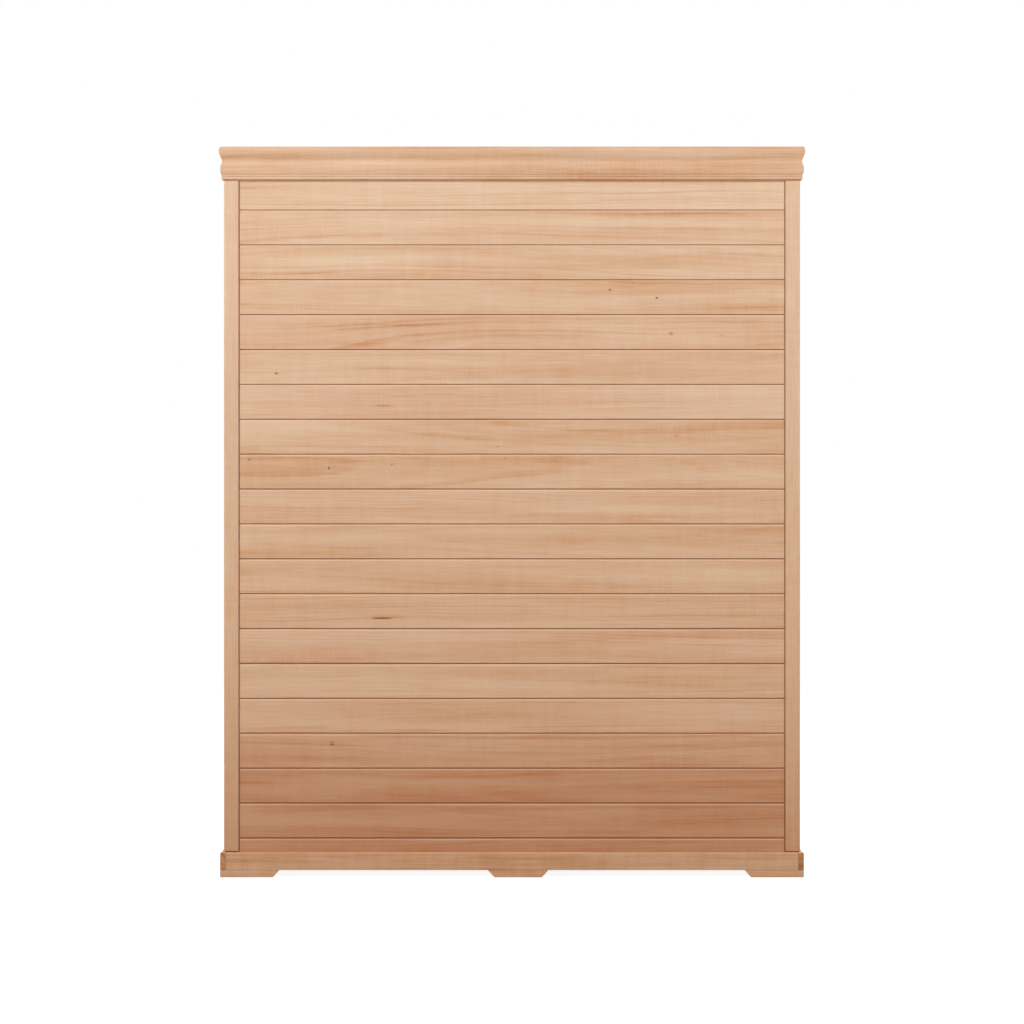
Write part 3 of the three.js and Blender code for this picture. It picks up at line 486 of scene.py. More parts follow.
def tinted_pane(name):
    """Grey tempered glass: clear to look through, mirror-like at a low angle, and green at the cut edges."""
    finish = new_finish(name)
    facing = finish.split(finish.normal())
    edge = 1 - finish.step(abs(facing["y"]), 0.3, 0.8)
    slant = finish.node("ShaderNodeLayerWeight", {}, {"Blend": 0.5}).output("Facing")
    haze = finish.noise(finish.place(), 2.2, 3.0)
    body = finish.principled({
        "Base Color": finish.mix(edge, rgb(0.045, 0.050, 0.050), rgb(0.075, 0.190, 0.150)),
        "Roughness": 0.02 + haze * 0.05,
        "Specular IOR Level": 0.8,
    })
    clear = finish.node("ShaderNodeBsdfTransparent", {}, {"Color": rgb(0.87, 0.88, 0.87)})
    solid = finish.math("MINIMUM", 0.07 + slant ** 5.0 * 0.9 + edge * 0.5 + haze * 0.03, 1.0)
    finish.show(finish.node("ShaderNodeMixShader", {}, {"Fac": solid, "Shader": clear, "Shader_001": body}))
    return finish


def brushed_steel(name, along):
    """Stainless steel brushed along one axis, and a little cloudy."""
    finish = new_finish(name)
    axes = finish.split(finish.place())
    stretch = {axis: 60.0 if axis == along else 2600.0 for axis in "xyz"}
    brush = finish.noise(finish.vector(*(axes[axis] * stretch[axis] for axis in "xyz")))
    cloud = finish.noise(finish.place(), 35.0, 3.0)
    finish.show(finish.principled({
        "Base Color": finish.mix(cloud, rgb(0.52, 0.53, 0.54), rgb(0.68, 0.68, 0.67)),
        "Metallic": 1.0,
        "Roughness": 0.22 + brush * 0.16 + cloud * 0.06,
        "Normal": finish.bump(brush, 0.15, 0.0002),
    }))
    return finish


def heating_film(name, across):
    """Black woven heating cloth: over and under threads, and faint carbon tracks behind them."""
    finish = new_finish(name)
    axes = finish.split(finish.place())
    thread = 2 * math.pi / THREAD_PITCH
    warp = finish.math("SINE", axes[across] * thread)
    weft = finish.math("SINE", axes["z"] * thread)
    weave = finish.step(warp * weft, -0.6, 0.6)
    tracks = finish.step(finish.math("SINE", axes["z"] * (2 * math.pi / TRACK_PITCH)), -0.2, 0.35)
    cloud = finish.noise(finish.place(), 14.0, 3.0)
    shade = weave * 0.45 + tracks * 0.35 + cloud * 0.35
    finish.show(finish.principled({
        "Base Color": finish.ramp(shade, (
            (0.10, rgb(0.013, 0.012, 0.011)),
            (0.60, rgb(0.036, 0.033, 0.030)),
            (1.00, rgb(0.072, 0.066, 0.060)),
        )),
        "Roughness": 0.62 + weave * 0.2,
        "Sheen Weight": 0.25,
        "Normal": finish.bump(weave + tracks * 0.5, 0.5, 0.0006),
    }))
    return finish


def moulded_plastic(name, light, dark, roughness):
    """Spark-eroded moulded plastic: fine pebbled grain and handling marks."""
    finish = new_finish(name)
    pebble = finish.noise(finish.place(), 1600.0, 2.0)
    marks = finish.noise(finish.place(), 38.0, 4.0)
    finish.show(finish.principled({
        "Base Color": finish.mix(marks * 0.7 + pebble * 0.3, dark, light),
        "Roughness": roughness + marks * 0.12 + pebble * 0.08,
        "Normal": finish.bump(pebble, 0.25, 0.0002),
    }))
    return finish


def painted_sheet(name):
    """Pale powder-coated steel sheet: orange peel and dust."""
    finish = new_finish(name)
    peel = finish.noise(finish.place(), 420.0, 2.0)
    dust = finish.noise(finish.place(), 9.0, 5.0)
    finish.show(finish.principled({
        "Base Color": finish.mix(dust, rgb(0.42, 0.43, 0.42), rgb(0.52, 0.53, 0.51)),
        "Roughness": 0.66 + dust * 0.18,
        "Specular IOR Level": 0.2,
        "Normal": finish.bump(peel, 0.2, 0.0004),
    }))
    return finish


def opal_lens(name):
    """Opal plastic of the ceiling light, faintly lit from inside."""
    finish = new_finish(name)
    axes = finish.split(finish.place())
    cloud = finish.noise(finish.place(), 30.0, 3.0)
    middle = centre("ceiling_light")
    flat = finish.vector(axes["x"], axes["y"], 0.0)
    off_centre = finish.vector_math("DISTANCE", flat, (middle.x, middle.y, 0.0)).output("Value")
    glow = 1 - finish.step(off_centre, 0.02, 0.085) * 0.55
    finish.show(finish.principled({
        "Base Color": finish.mix(cloud, rgb(0.80, 0.77, 0.71), rgb(0.88, 0.86, 0.80)),
        "Roughness": 0.28 + cloud * 0.12,
        "Emission Color": finish.mix(glow, rgb(0.45, 0.34, 0.22), rgb(1.0, 0.84, 0.62)),
        "Emission Strength": 3.0,
    }))
    return finish


def lit_mark(name, colour, strength):
    """Printed mark lit from behind, a little uneven."""
    finish = new_finish(name)
    cloud = finish.noise(finish.place(), 220.0, 2.0)
    dim = tuple(part * 0.6 for part in colour[:3]) + (1.0,)
    finish.show(finish.principled({
        "Base Color": finish.mix(cloud, dim, colour),
        "Roughness": 0.4 + cloud * 0.1,
        "Emission Color": finish.mix(cloud, dim, colour),
        "Emission Strength": strength,
    }))
    return finish


def display_glass(name):
    """Dark smoked cover of the display."""
    finish = new_finish(name)
    smear = finish.noise(finish.place(), 60.0, 4.0)
    finish.show(finish.principled({
        "Base Color": finish.mix(smear, rgb(0.010, 0.012, 0.014), rgb(0.022, 0.025, 0.028)),
        "Roughness": 0.06 + smear * 0.10,
        "Coat Weight": 0.6,
        "Coat Roughness": 0.05,
    }))
    return finish


# Cells of timber: an axis, a start and a pitch. One cell is wider than any single timber.
SINGLE = 0.2
wall_boards = ("z", FIRST_SEAM - BOARD_PITCH, BOARD_PITCH)
level_boards = ("y", centre("floor_boards").y, BOARD_PITCH)
bench_slats = ("y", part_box("bench_top")[1].y, BENCH_SLAT_PITCH)
guard_slats = ("z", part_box("backrest_guard")[0].z - GUARD_GRAIN_DROP, GUARD_SLAT_PITCH)
apron_slats = ("z", APRON_GRAIN_START, APRON_SLAT["pitch"])
single_x, single_y, single_z = ((axis, 0.0, SINGLE) for axis in "xyz")

back_wall_timber = hemlock(
    "hemlock_back_wall", "x", wall_boards, ("y", 0.5, SINGLE), ground=(1.0, 0.20, 0.46),
    joints=("y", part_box("back_cladding")[1].y), knots=BACK_KNOTS)
side_wall_timber = hemlock(
    "hemlock_side_walls", "y", wall_boards, single_x, ground=(0.8, 0.20, 0.46),
    joints=("x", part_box("right_cladding")[1].x))
upright_timber = hemlock(
    "hemlock_uprights", "z", single_x, single_y, tone=0.17, figure=0.4, ground=(0.80, 0.0, 0.66))
rail_timber = hemlock("hemlock_rails", "x", single_z, single_y, figure=0.8)
cornice_x_timber = hemlock("hemlock_cornice_length", "x", single_z, single_y, tone=0.29, figure=1.2)
cornice_y_timber = hemlock("hemlock_cornice_depth", "y", single_z, single_x, tone=0.29, figure=1.2)
plinth_x_timber = hemlock("hemlock_plinth_length", "x", single_z, single_y, tone=0.55, figure=0.6)
plinth_y_timber = hemlock("hemlock_plinth_depth", "y", single_z, single_x, tone=0.55, figure=0.6)
foot_timber = hemlock("hemlock_feet", "x", single_z, single_y, tone=0.48, figure=0.6, turning=True)
back_lining_timber = hemlock("hemlock_back_lining", "x", wall_boards, ("y", 0.4, SINGLE))
side_lining_timber = hemlock("hemlock_side_lining", "y", wall_boards, single_x)
level_timber = hemlock("hemlock_level_boards", "x", level_boards, single_z)
bench_timber = hemlock("hemlock_bench", "x", bench_slats, ("z", 0.4, SINGLE), tone=0.32)
guard_timber = hemlock("hemlock_guard", "x", guard_slats, ("y", 0.4, SINGLE), tone=0.32)
apron_timber = hemlock("hemlock_apron", "x", apron_slats, ("y", -0.1, SINGLE), tone=0.34)
grip_timber = hemlock("hemlock_grip", "z", ("x", 0.15, SINGLE), single_y, tone=0.42, figure=0.9)
roof_plywood = roofing_plywood("roof_plywood")
pane_glass = tinted_pane("tinted_glass")
fitting_steel = brushed_steel("fitting_steel", "z")
heater_cloth_x = heating_film("heating_cloth_back", "x")
heater_cloth_y = heating_film("heating_cloth_sides", "y")
black_plastic = moulded_plastic("black_plastic", rgb(0.030, 0.031, 0.033), rgb(0.016, 0.016, 0.018), 0.34)
key_plastic = moulded_plastic("key_plastic", rgb(0.62, 0.63, 0.64), rgb(0.52, 0.53, 0.54), 0.30)
mark_print = moulded_plastic("mark_print", rgb(0.060, 0.062, 0.066), rgb(0.035, 0.036, 0.040), 0.45)
supply_paint = painted_sheet("supply_paint")
light_opal = opal_lens("light_opal")
level_glow = lit_mark("level_glow", rgb(1.0, 0.42, 0.10), 1.2)
smoked_cover = display_glass("smoked_cover")


# Making pieces

UP = (0.0, 0.0, 1.0)
DOWN = (0.0, 0.0, -1.0)
OUT_OF_DOOR = (0.0, -1.0, 0.0)


def piece(name, bm, finishes, body="cabin", stands_for=(), smooth=None):
    """Turns a bmesh into a finished piece that rides on a body."""
    bmesh.ops.remove_doubles(bm, verts=bm.verts, dist=1e-6)
    bmesh.ops.recalc_face_normals(bm, faces=bm.faces)
    mesh = bpy.data.meshes.new(name)
    bm.to_mesh(mesh)
    bm.free()
    for finish in finishes:
        mesh.materials.append(finish.material)
    if smooth is not None:
        mesh.shade_smooth()
        mesh.set_sharp_from_angle(angle=math.radians(smooth))
    obj = bpy.data.objects.new(name, mesh)
    scene.collection.objects.link(obj)
    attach(obj, body)
    if stands_for:
        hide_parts(*stands_for)
    return obj


def bevel(bm, edges, offset, segments=2):
    bmesh.ops.bevel(bm, geom=edges, offset=offset, offset_type="OFFSET", affect="EDGES",
                    segments=segments, profile=0.5, material=-1, clamp_overlap=True)


def prism(bm, points, reach):
    """An outline drawn in space and extruded by a vector."""
    face = bm.faces.new([bm.verts.new(point) for point in points])
    grown = bmesh.ops.extrude_face_region(bm, geom=[face])
    moved = [item for item in grown["geom"] if isinstance(item, bmesh.types.BMVert)]
    bmesh.ops.translate(bm, verts=moved, vec=reach)


def bar(bm, low, high, ease=0.0, segments=2):
    """A box between two corners with eased edges."""
    low, high = Vector(low), Vector(high)
    shape = Matrix.Translation((low + high) / 2) @ Matrix.Diagonal((*(high - low), 1.0))
    made = bmesh.ops.create_cube(bm, size=1.0, matrix=shape)
    if ease:
        bevel(bm, list({edge for vert in made["verts"] for edge in vert.link_edges}), ease, segments)


def turned(bm, profile, base, axis, steps=24):
    """A profile of (radius, height) spun round an axis through a base point."""
    axis = Vector(axis)
    outward = axis.orthogonal().normalized()
    base = Vector(base)
    verts = [bm.verts.new(base + outward * radius + axis * height) for radius, height in profile]
    edges = [bm.edges.new(pair) for pair in zip(verts, verts[1:])]
    bmesh.ops.spin(bm, geom=verts + edges, cent=base, axis=axis, angle=2 * math.pi, steps=steps,
                   use_merge=True, dvec=(0.0, 0.0, 0.0))


def merged_copy(node):
    """A CAD node's mesh with its triangles joined into flat faces."""
    bm = bmesh.new()
    bm.from_mesh(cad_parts[node].data)
    bmesh.ops.remove_doubles(bm, verts=bm.verts, dist=1e-5)
    bmesh.ops.dissolve_limit(bm, angle_limit=math.radians(0.5), verts=bm.verts, edges=bm.edges)
    return bm


def eased(node, finish, body="cabin", ease=ARRIS, smooth=None):
    """A CAD timber or fitting with its sharp outer edges taken off."""
    bm = merged_copy(node)
    sharp = [edge for edge in bm.edges if edge.is_convex and edge.calc_face_angle(0.0) > math.radians(40)]
    if ease:
        bevel(bm, sharp, ease)
    return piece(f"{node}_finished", bm, [finish], body, [node], smooth)


def wavering(number):
    """A steady pseudo-random value from -1 to 1 for a whole number."""
    return 2.0 * ((math.sin(number * 12.9898 + 4.1) * 43758.5453) % 1.0) - 1.0


# Boarded walls

def board_section(bottom, top, first, last):
    """A tongued and grooved board with eased arrises, as points of depth behind the face and height."""
    low_edge = [(LOW_EASE[0], bottom), (0.0, bottom + LOW_EASE[1])]
    high_edge = [(0.0, top - HIGH_EASE[1]), (HIGH_EASE[0], top)]
    groove_top = bottom + TONGUE_REACH
    groove = [(BOARD_THICK, bottom), (TONGUE_BACK, bottom), (TONGUE_BACK, groove_top),
              (SEAM_DEPTH, groove_top), (SEAM_DEPTH, bottom)]
    tongue_top = top + SEAM_GAP[1] + TONGUE_REACH - BOARD_PLAY
    tongue = [(SEAM_DEPTH, top), (SEAM_DEPTH, tongue_top), (TONGUE_BACK, tongue_top),
              (TONGUE_BACK, top), (BOARD_THICK, top)]
    start = [(BOARD_THICK, bottom), (0.0, bottom)] if first else groove + low_edge
    finish = [(0.0, top), (BOARD_THICK, top)] if last else high_edge + tongue
    return start + finish


def boarded_wall(node, name, finish, at):
    """Boards laid from the floor up, with a tongue at each end for the groove of the stile.

    at takes a share of the wall's length, and gives a function of depth behind the face and height.
    """
    low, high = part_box(node)
    seams = [low.z, *(FIRST_SEAM + board * BOARD_PITCH for board in range(BOARD_COUNT - 1)), high.z]
    change = SEAM_GAP[1] - SEAM_GAP[0]
    gaps = [SEAM_GAP[0] + change * seam / BOARD_COUNT for seam in range(BOARD_COUNT + 1)]
    start, end = at(0.0), at(1.0)
    reach = end(0.0, 0.0) - start(0.0, 0.0)
    bm = bmesh.new()
    for board, (under, over) in enumerate(zip(seams, seams[1:])):
        first, last = board == 0, board == BOARD_COUNT - 1
        bottom = under if first else under + gaps[board] / 2
        top = over if last else over - gaps[board + 1] / 2 + wavering(board) * SEAM_WAVER
        shift = BOARD_SET_BACK + wavering(board * 7 + len(name)) * BOARD_PLAY
        section = board_section(bottom, top, first, last)
        prism(bm, [start(depth + shift, height) for depth, height in section], reach)
    end_tongue = [(TONGUE_FACE, STILE_BOTTOM), (TONGUE_BACK, STILE_BOTTOM),
                  (TONGUE_BACK, high.z), (TONGUE_FACE, high.z)]
    for inner, outer in ((start, at(-END_TONGUE_SHARE)), (end, at(1.0 + END_TONGUE_SHARE))):
        prism(bm, [inner(*corner) for corner in end_tongue], outer(0.0, 0.0) - inner(0.0, 0.0))
    return piece(name, bm, [finish], stands_for=[node])


back_low, back_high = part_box("back_cladding")
back_inset = STILE_GROOVE + BOARD_END_GAP
back_ends = (back_low.x + back_inset, back_high.x - back_inset)


def back_point(share):
    x = back_ends[0] + (back_ends[1] - back_ends[0]) * share
    return lambda depth, height: Vector((x, back_high.y - depth, height))


boarded_wall("back_cladding", "back_boards", back_wall_timber, back_point)


def side_point(node, side):
    low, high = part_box(node)
    face = high.x if side > 0 else low.x
    ends = (low.y + back_inset, high.y - back_inset)

    def at(share):
        y = ends[0] + (ends[1] - ends[0]) * share
        return lambda depth, height: Vector((face - side * depth, y, height))

    return at


boarded_wall("left_cladding", "left_boards", side_wall_timber, side_point("left_cladding", -1))
boarded_wall("right_cladding", "right_boards", side_wall_timber, side_point("right_cladding", 1))

# Frames, plinth, feet and cornice
for node in ("back_frame", "left_frame", "right_frame", "front_stile_left", "front_stile_right",
             "door_jamb_hinge", "door_jamb_latch"):
    eased(node, upright_timber)
for node in ("front_header", "front_sill", "bench_ledger"):
    eased(node, rail_timber)
for node in ("plinth_back", "plinth_front"):
    eased(node, plinth_x_timber)
for node in ("plinth_left", "plinth_right"):
    eased(node, plinth_y_timber)
for end in ("back", "front"):
    for place in ("left", "centre", "right"):
        eased(f"foot_{end}_{place}", foot_timber)
for node in ("crown_back", "crown_front"):
    eased(node, cornice_x_timber, ease=0.0, smooth=38)
for node in ("crown_left", "crown_right"):
    eased(node, cornice_y_timber, ease=0.0, smooth=38)


def cornice_bed():
    """Strips that close the slot between the walls and the cornice, a little behind the wall faces."""
    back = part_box("back_frame")[1]
    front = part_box("front_header")[0].y
    left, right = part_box("left_frame")[0].x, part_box("right_frame")[1].x
    under, over = back.z + BED_PLAY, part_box("crown_back")[0].z - BED_PLAY
    behind = BED_SET_BACK + BED_DEPTH
    lengthwise = bmesh.new()
    for near, far in ((back.y - behind, back.y - BED_SET_BACK), (front + BED_SET_BACK, front + behind)):
        bar(lengthwise, (left + BED_SET_BACK, near, under), (right - BED_SET_BACK, far, over))
    piece("cornice_bed_length", lengthwise, [cornice_x_timber])
    depthwise = bmesh.new()
    for near, far in ((right - behind, right - BED_SET_BACK), (left + BED_SET_BACK, left + behind)):
        bar(depthwise, (near, front + behind, under), (far, back.y - behind, over))
    piece("cornice_bed_depth", depthwise, [cornice_y_timber])


cornice_bed()

# Floor, ceiling, roof and linings
eased("floor_boards", level_timber, ease=0.0)
eased("ceiling_boards", level_timber, ease=0.0)
eased("back_lining", back_lining_timber, ease=0.0)
eased("left_lining", side_lining_timber, ease=0.0)
eased("right_lining", side_lining_timber, ease=0.0)
eased("roof_cover", roof_plywood)
for node in ("floor_frame", "roof_frame"):
    eased(node, roof_plywood, ease=0.0)


# Heating panels

def heating_panel(node, cloth, facing):
    """A panel with a raised black rim round its woven front."""
    bm = merged_copy(node)
    facing = Vector(facing)
    bm.normal_update()
    front = [face for face in bm.faces if face.normal.dot(facing) > 0.99]
    bmesh.ops.inset_region(bm, faces=front, thickness=HEATER_RIM, use_even_offset=True)
    bmesh.ops.inset_region(bm, faces=front, thickness=HEATER_SINK, depth=-HEATER_SINK, use_even_offset=True)
    for face in front:
        face.material_index = 1
    piece(f"{node}_finished", bm, [black_plastic, cloth], stands_for=[node])


for node in ("back_heater_left", "back_heater_right", "bench_heater"):
    heating_panel(node, heater_cloth_x, OUT_OF_DOOR)
heating_panel("left_heater", heater_cloth_y, (1.0, 0.0, 0.0))
heating_panel("right_heater", heater_cloth_y, (-1.0, 0.0, 0.0))

# Bench and backrest
eased("backrest_guard", guard_timber, ease=SLAT_EASE)
eased("bench_top", bench_timber, ease=SLAT_EASE)


def bench_apron():
    """Posts and rails with slats between them, each a bar of its own."""
    low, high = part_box("bench_apron")
    posts = bmesh.new()
    for x in (low.x, -APRON_FRAME / 2, high.x - APRON_FRAME):
        bar(posts, (x, low.y, low.z), (x + APRON_FRAME, high.y, high.z), ARRIS)
    piece("apron_posts", posts, [upright_timber], stands_for=["bench_apron"])
    level = bmesh.new()
    bays = ((low.x + APRON_FRAME, -APRON_FRAME / 2), (APRON_FRAME / 2, high.x - APRON_FRAME))
    middle = (low.z + high.z) / 2
    for left, right in bays:
        for z in (low.z, high.z - APRON_FRAME):
            bar(level, (left, low.y, z), (right, high.y, z + APRON_FRAME), ARRIS)
        for slat in range(APRON_SLAT["count"]):
            z = middle + (slat - (APRON_SLAT["count"] - 1) / 2) * APRON_SLAT["pitch"]
            half = APRON_SLAT["width"] / 2
            face = low.y + APRON_SLAT["thick"]
            bar(level, (left, low.y, z - half), (right, face, z + half), APRON_SLAT["ease"])
    piece("apron_slats", level, [apron_timber])


bench_apron()

# Glass, handles and hinges
for node, body in (("window_left", "cabin"), ("window_right", "cabin"), ("door_glass", "door")):
    eased(node, pane_glass, body, ease=PANE_EASE)


def pull_handle(node, side, glass_face):
    """A turned grip with a belly, on two steel posts with rosettes against the glass."""
    low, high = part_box(node)
    x, _, level = centre(node)
    half = (high.z - low.z) / 2
    grip_end = [(0.0, -half), *((GRIP_RADIUS * share, height - half) for share, height in GRIP_END)]
    shares = [quarter / 4 for quarter in range(-3, 4)]
    swell = GRIP_BELLY - GRIP_RADIUS
    belly = [(GRIP_RADIUS + swell * (1 - share * share), share * half) for share in shares]
    other_end = [(radius, -height) for radius, height in reversed(grip_end)]
    grip = bmesh.new()
    grip_place = (x, glass_face + side * HANDLE_STAND_OFF, level)
    turned(grip, grip_end + belly + other_end, grip_place, UP, 32)
    piece(f"{node}_grip", grip, [grip_timber], "door", [node], smooth=50)
    reach = HANDLE_STAND_OFF - GRIP_RADIUS * POST_END_SHARE
    rosette = [(0.0, 0.0), (ROSETTE_RADIUS, 0.0), (ROSETTE_RADIUS, ROSETTE_THICK - ROSETTE_CHAMFER),
               (ROSETTE_RADIUS - ROSETTE_CHAMFER, ROSETTE_THICK)]
    post = [(POST_RADIUS + POST_FILLET[0], ROSETTE_THICK), (POST_RADIUS, ROSETTE_THICK + POST_FILLET[1]),
            (POST_RADIUS, reach), (0.0, reach)]
    posts = bmesh.new()
    for end in (-1, 1):
        seat = (x, glass_face + side * HANDLE_PLAY, level + end * HANDLE_SPACING / 2)
        turned(posts, rosette + post, seat, (0.0, float(side), 0.0), 28)
    piece(f"{node}_posts", posts, [fitting_steel], "door", smooth=40)


door_low, door_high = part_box("door_glass")
pull_handle("door_handle_outside", -1, door_low.y)
pull_handle("door_handle_inside", 1, door_high.y)


def screw_head(bm, seat, axis):
    """A pan head with a round socket."""
    for outline in (SCREW_HEAD, SCREW_SOCKET):
        turned(bm, [(SCREW_RADIUS * share, height) for share, height in outline], seat, axis, 18)


def hinge_screws(node, body, x, y, rise):
    """Two screws, one above the other, in the outer face of a hinge leaf."""
    screws = bmesh.new()
    middle = centre(node).z
    for side in (-1, 1):
        screw_head(screws, (x, y, middle + side * rise), OUT_OF_DOOR)
    piece(f"{node}_screws", screws, [fitting_steel], body, smooth=40)


for level in ("upper", "lower"):
    plate, clamp = f"hinge_{level}_plate", f"hinge_{level}_clamp"
    eased(plate, fitting_steel, ease=HINGE_EASE, smooth=32)
    eased(clamp, fitting_steel, "door", ease=HINGE_EASE, smooth=32)
    plate_low, plate_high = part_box(plate)
    plate_face = plate_high.y - PLATE_SCREW["sink"]
    hinge_screws(plate, "cabin", plate_low.x + PLATE_SCREW["inset"], plate_face, PLATE_SCREW["rise"])
    clamp_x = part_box(clamp)[1].x - CLAMP_SCREW["inset"]
    hinge_screws(clamp, "door", clamp_x, door_low.y - CLAMP_SCREW["proud"], CLAMP_SCREW["rise"])

eased("door_catch", black_plastic, ease=CATCH_EASE)


# Ceiling light, vent slide, supply unit and control panel

def ceiling_light():
    """A domed lens in a steel rim."""
    low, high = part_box("ceiling_light")
    middle = centre("ceiling_light")
    base = (middle.x, middle.y, high.z)
    rim = (high.x - low.x) / 2
    dome = rim - LIGHT_RIM
    arc = [math.radians(angle) for angle in range(0, 90, 9)]
    curve = [(dome * math.cos(angle), LIGHT_RIM + LIGHT_DROP * math.sin(angle)) for angle in arc]
    lens = bmesh.new()
    turned(lens, [*curve, (0.0, LIGHT_RIM + LIGHT_DROP)], base, DOWN, 48)
    piece("light_lens", lens, [light_opal], stands_for=["ceiling_light"], smooth=60)
    inner = dome - LIGHT_LAP
    outside = [(rim - inset, height) for inset, height in LIGHT_SECTION]
    ring = bmesh.new()
    turned(ring, [(inner, 0.0), *outside, (inner, outside[-1][1])], base, DOWN, 48)
    piece("light_rim", ring, [fitting_steel], smooth=50)


def vent_slide():
    """A small board with a turned knob under it."""
    low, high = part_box("vent_slide")
    middle = centre("vent_slide")
    under = high.z - VENT_BOARD
    board = bmesh.new()
    bar(board, (low.x, low.y, under), high, SLAT_EASE)
    piece("vent_board", board, [level_timber], "vent", ["vent_slide"])
    knob = bmesh.new()
    turned(knob, VENT_KNOB, (middle.x, middle.y, under + KNOB_SINK), DOWN, 28)
    piece("vent_knob", knob, [grip_timber], "vent", smooth=60)


def inlet_bar(bm, x, z, face, size, ease):
    """A bar behind the face of the supply unit, round a point of that face."""
    bar(bm, (x - size["half_width"], face - size["back"], z - size["half_height"]),
        (x + size["half_width"], face - size["front"], z + size["half_height"]), ease)


def supply_unit():
    """A painted box with screws in its flanges and a mains inlet in its face."""
    eased("power_unit", supply_paint, ease=SUPPLY_EASE)
    low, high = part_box("power_unit")
    x = centre("power_unit").x
    screws = bmesh.new()
    for screw_x in (low.x + SUPPLY_SCREW["from_side"], high.x - SUPPLY_SCREW["from_side"]):
        for screw_y in (low.y + SUPPLY_SCREW["from_end"], high.y - SUPPLY_SCREW["from_end"]):
            screw_head(screws, (screw_x, screw_y, low.z + SUPPLY_SCREW["level"]), UP)
    piece("supply_screws", screws, [fitting_steel], smooth=40)
    inlet = bmesh.new()
    middle = low.z + INLET["level"]
    inlet_bar(inlet, x, middle, high.y, INLET, SUPPLY_EASE)
    for place, lift in PIN_LEVELS.items():
        inlet_bar(inlet, x + place * PIN["spacing"], middle + lift, high.y, PIN, PIN_EASE)
    piece("supply_inlet", inlet, [black_plastic])


def control_panel():
    """A panel with a smoked display and a row of rising bars in it."""
    eased("control_panel", black_plastic)
    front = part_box("control_panel")[0].x
    _, y, z = centre("control_panel")
    z = z + DISPLAY["above"]
    cover = bmesh.new()
    bar(cover, (front + DISPLAY["near"], y - DISPLAY["half_width"], z - DISPLAY["half_height"]),
        (front + DISPLAY["far"], y + DISPLAY["half_width"], z + DISPLAY["half_height"]), DISPLAY_EASE)
    piece("display_cover", cover, [smoked_cover])
    levels = bmesh.new()
    foot, half = z - LEVEL_DROP, LEVEL_BAR["half_width"]
    for step in range(LEVEL_BAR["count"]):
        place = y + ((LEVEL_BAR["count"] - 1) / 2 - step) * LEVEL_BAR["pitch"]
        top = foot + LEVEL_HEIGHT[0] + step * LEVEL_HEIGHT[1]
        bar(levels, (front + LEVEL_BAR["near"], place - half, foot),
            (front + LEVEL_BAR["far"], place + half, top), PRINT_EASE)
    piece("display_levels", levels, [level_glow])


def push_button(node, body, strokes):
    """A dished button with a mark made of strokes, each given by its lift, half width and half height."""
    eased(node, key_plastic, body, ease=0.0, smooth=35)
    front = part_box(node)[0].x
    _, y, z = centre(node)
    near, far = front + MARK["near"], front + MARK["far"]
    mark = bmesh.new()
    for lift, half_y, half_z in strokes:
        bar(mark, (near, y - half_y, z + lift - half_z), (far, y + half_y, z + lift + half_z), PRINT_EASE)
    if node == "power_button":
        rise = MARK["far"] - MARK["near"]
        inner, outer = POWER_RING
        ring = [(inner, 0.0), (inner, rise), (outer, rise), (outer, 0.0), (inner, 0.0)]
        turned(mark, ring, (far, y, z), (-1.0, 0.0, 0.0), 24)
    piece(f"{node}_mark", mark, [mark_print], body)


ceiling_light()
vent_slide()
supply_unit()
control_panel()
push_button("heat_up_button", "heat_up_key",
            [(0.0, MARK["reach"], MARK["half"]), (0.0, MARK["half"], MARK["reach"])])
push_button("heat_down_button", "heat_down_key", [(0.0, MARK["reach"], MARK["half"])])
push_button("power_button", "power_key", [(POWER_STROKE["lift"], MARK["half"], POWER_STROKE["half"])])


# Stage, light and camera

def seen_directly(finish):
    """1 for rays from the camera, in reflections and through glass; 0 for light that bounces."""
    path = finish.node("ShaderNodeLightPath", {}, {})
    seen = path.output("Is Camera Ray") + path.output("Is Glossy Ray") + path.output("Is Transmission Ray")
    return finish.math("MINIMUM", seen, 1.0)


AMBIENT = 0.195
AMBIENT_TINT = rgb(1.0, 0.93, 0.85)
FLOOR_TINTS = (rgb(0.50, 0.47, 0.44), rgb(0.54, 0.51, 0.48))
FLOOR_GLOW = 0.92

world = bpy.data.worlds.new("studio")
scene.world = world
world.use_nodes = True
sky = Finish(world.node_tree)
sky_seen = seen_directly(sky)
backdrop = sky.node("ShaderNodeBackground", {}, {
    "Color": sky.mix(sky_seen, AMBIENT_TINT, WHITE),
    "Strength": AMBIENT + sky_seen * (1.0 - AMBIENT),
})
sky.node("ShaderNodeOutputWorld", {}, {"Surface": backdrop})

ground = new_finish("pale_floor")
mottle = ground.noise(ground.place(), 3.0, 3.0)
floor_paint = ground.principled({
    "Base Color": ground.mix(mottle, *FLOOR_TINTS),
    "Roughness": 0.9,
    "Specular IOR Level": 0.0,
})
floor_glow = ground.node("ShaderNodeEmission", {}, {"Strength": seen_directly(ground) * FLOOR_GLOW})
ground.show(ground.node("ShaderNodeAddShader", {}, {"Shader": floor_paint, "Shader_001": floor_glow}))

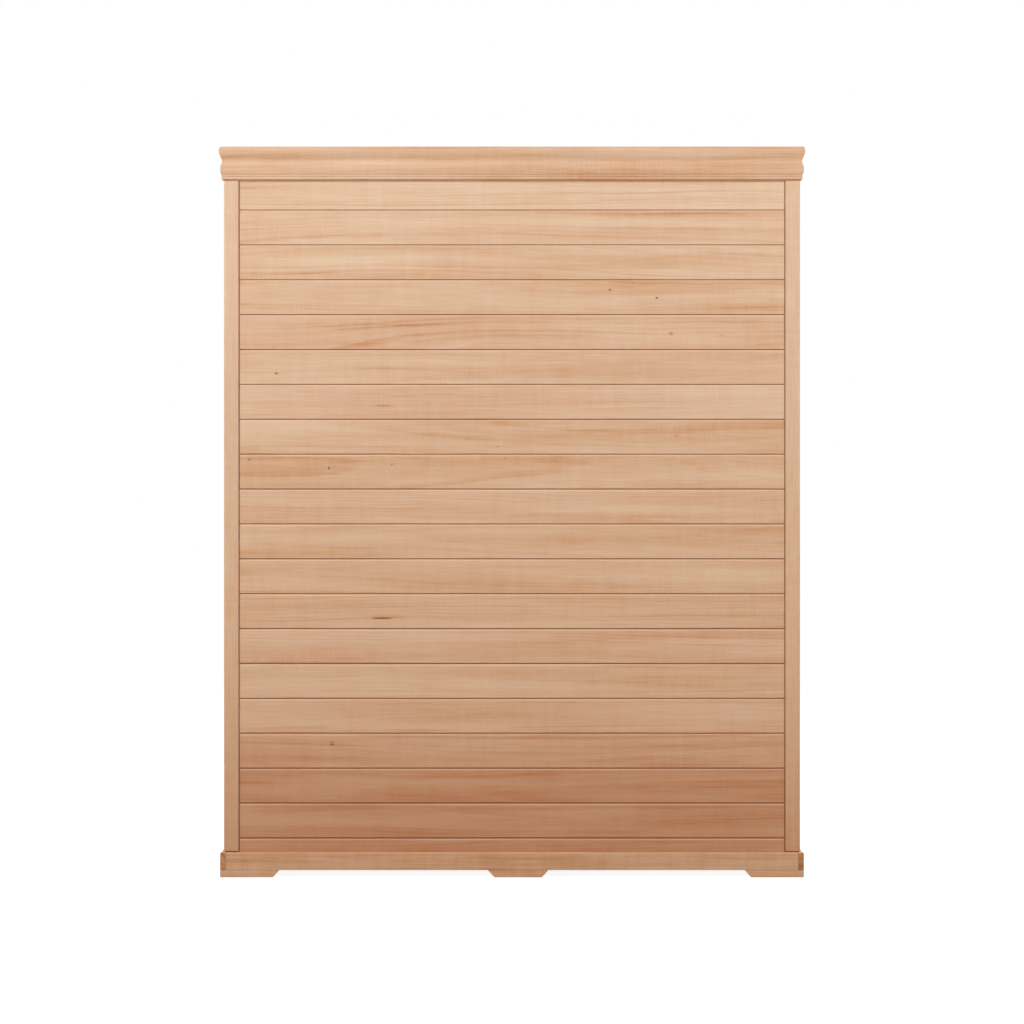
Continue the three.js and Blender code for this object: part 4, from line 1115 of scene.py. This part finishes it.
floor_mesh = bmesh.new()
below = Matrix.Translation((0.0, 0.0, -FLOOR_PLAY))
bmesh.ops.create_grid(floor_mesh, x_segments=1, y_segments=1, size=FLOOR_REACH, matrix=below)
floor_data = bpy.data.meshes.new("studio_floor")
floor_mesh.to_mesh(floor_data)
floor_mesh.free()
floor_data.materials.append(ground.material)
floor = bpy.data.objects.new("studio_floor", floor_data)
scene.collection.objects.link(floor)


LAMP_TINT = (1.0, 0.985, 0.97)
LAMP_TARGET = Vector((0.0, 0.0, 1.3))
CORNER_LAMP = {"reach": 2.7, "height": 3.0, "size": (1.8, 1.4)}
FILL_LAMP = {"reach": 4.4, "height": 2.6, "size": (2.2, 1.4)}
# One diagonal pair of corner lamps is stronger than the other
CORNER_WATTS = {1: 70.0, -1: 57.0}
FILL_WATTS = 42.0


def softbox(name, kind, side_x, side_y, watts):
    """A soft rectangular lamp beside the cabin, pointed at it and hidden from the camera."""
    lamp = bpy.data.lights.new(name, "AREA")
    lamp.shape = "RECTANGLE"
    lamp.size, lamp.size_y = kind["size"]
    lamp.energy = watts
    lamp.color = LAMP_TINT
    obj = bpy.data.objects.new(name, lamp)
    place = Vector((side_x * kind["reach"], side_y * kind["reach"], kind["height"]))
    obj.location = place
    obj.rotation_euler = (LAMP_TARGET - place).to_track_quat("-Z", "Y").to_euler()
    obj.visible_camera = False
    scene.collection.objects.link(obj)


for end, side_y in (("back", 1), ("front", -1)):
    for side, side_x in (("right", 1), ("left", -1)):
        softbox(f"corner_{end}_{side}", CORNER_LAMP, side_x, side_y, CORNER_WATTS[side_x * side_y])
for name, side_x, side_y in (("back", 0, 1), ("front", 0, -1), ("left", -1, 0), ("right", 1, 0)):
    softbox(f"fill_{name}", FILL_LAMP, side_x, side_y, FILL_WATTS)

camera_data = bpy.data.cameras.new("camera")
camera_data.sensor_width = SENSOR * 1000
camera_data.lens = SENSOR * 1000 * CAMERA_DISTANCE / VIEW_HEIGHT
camera = bpy.data.objects.new("camera", camera_data)
wall_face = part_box("back_frame")[1].y
camera.location = (0.0, wall_face + CAMERA_DISTANCE, (cad_box[0].z + cad_box[1].z) / 2)
camera.rotation_euler = (math.radians(90), 0.0, math.radians(180))
scene.collection.objects.link(camera)
scene.camera = camera
scene.view_settings.view_transform = "Standard"
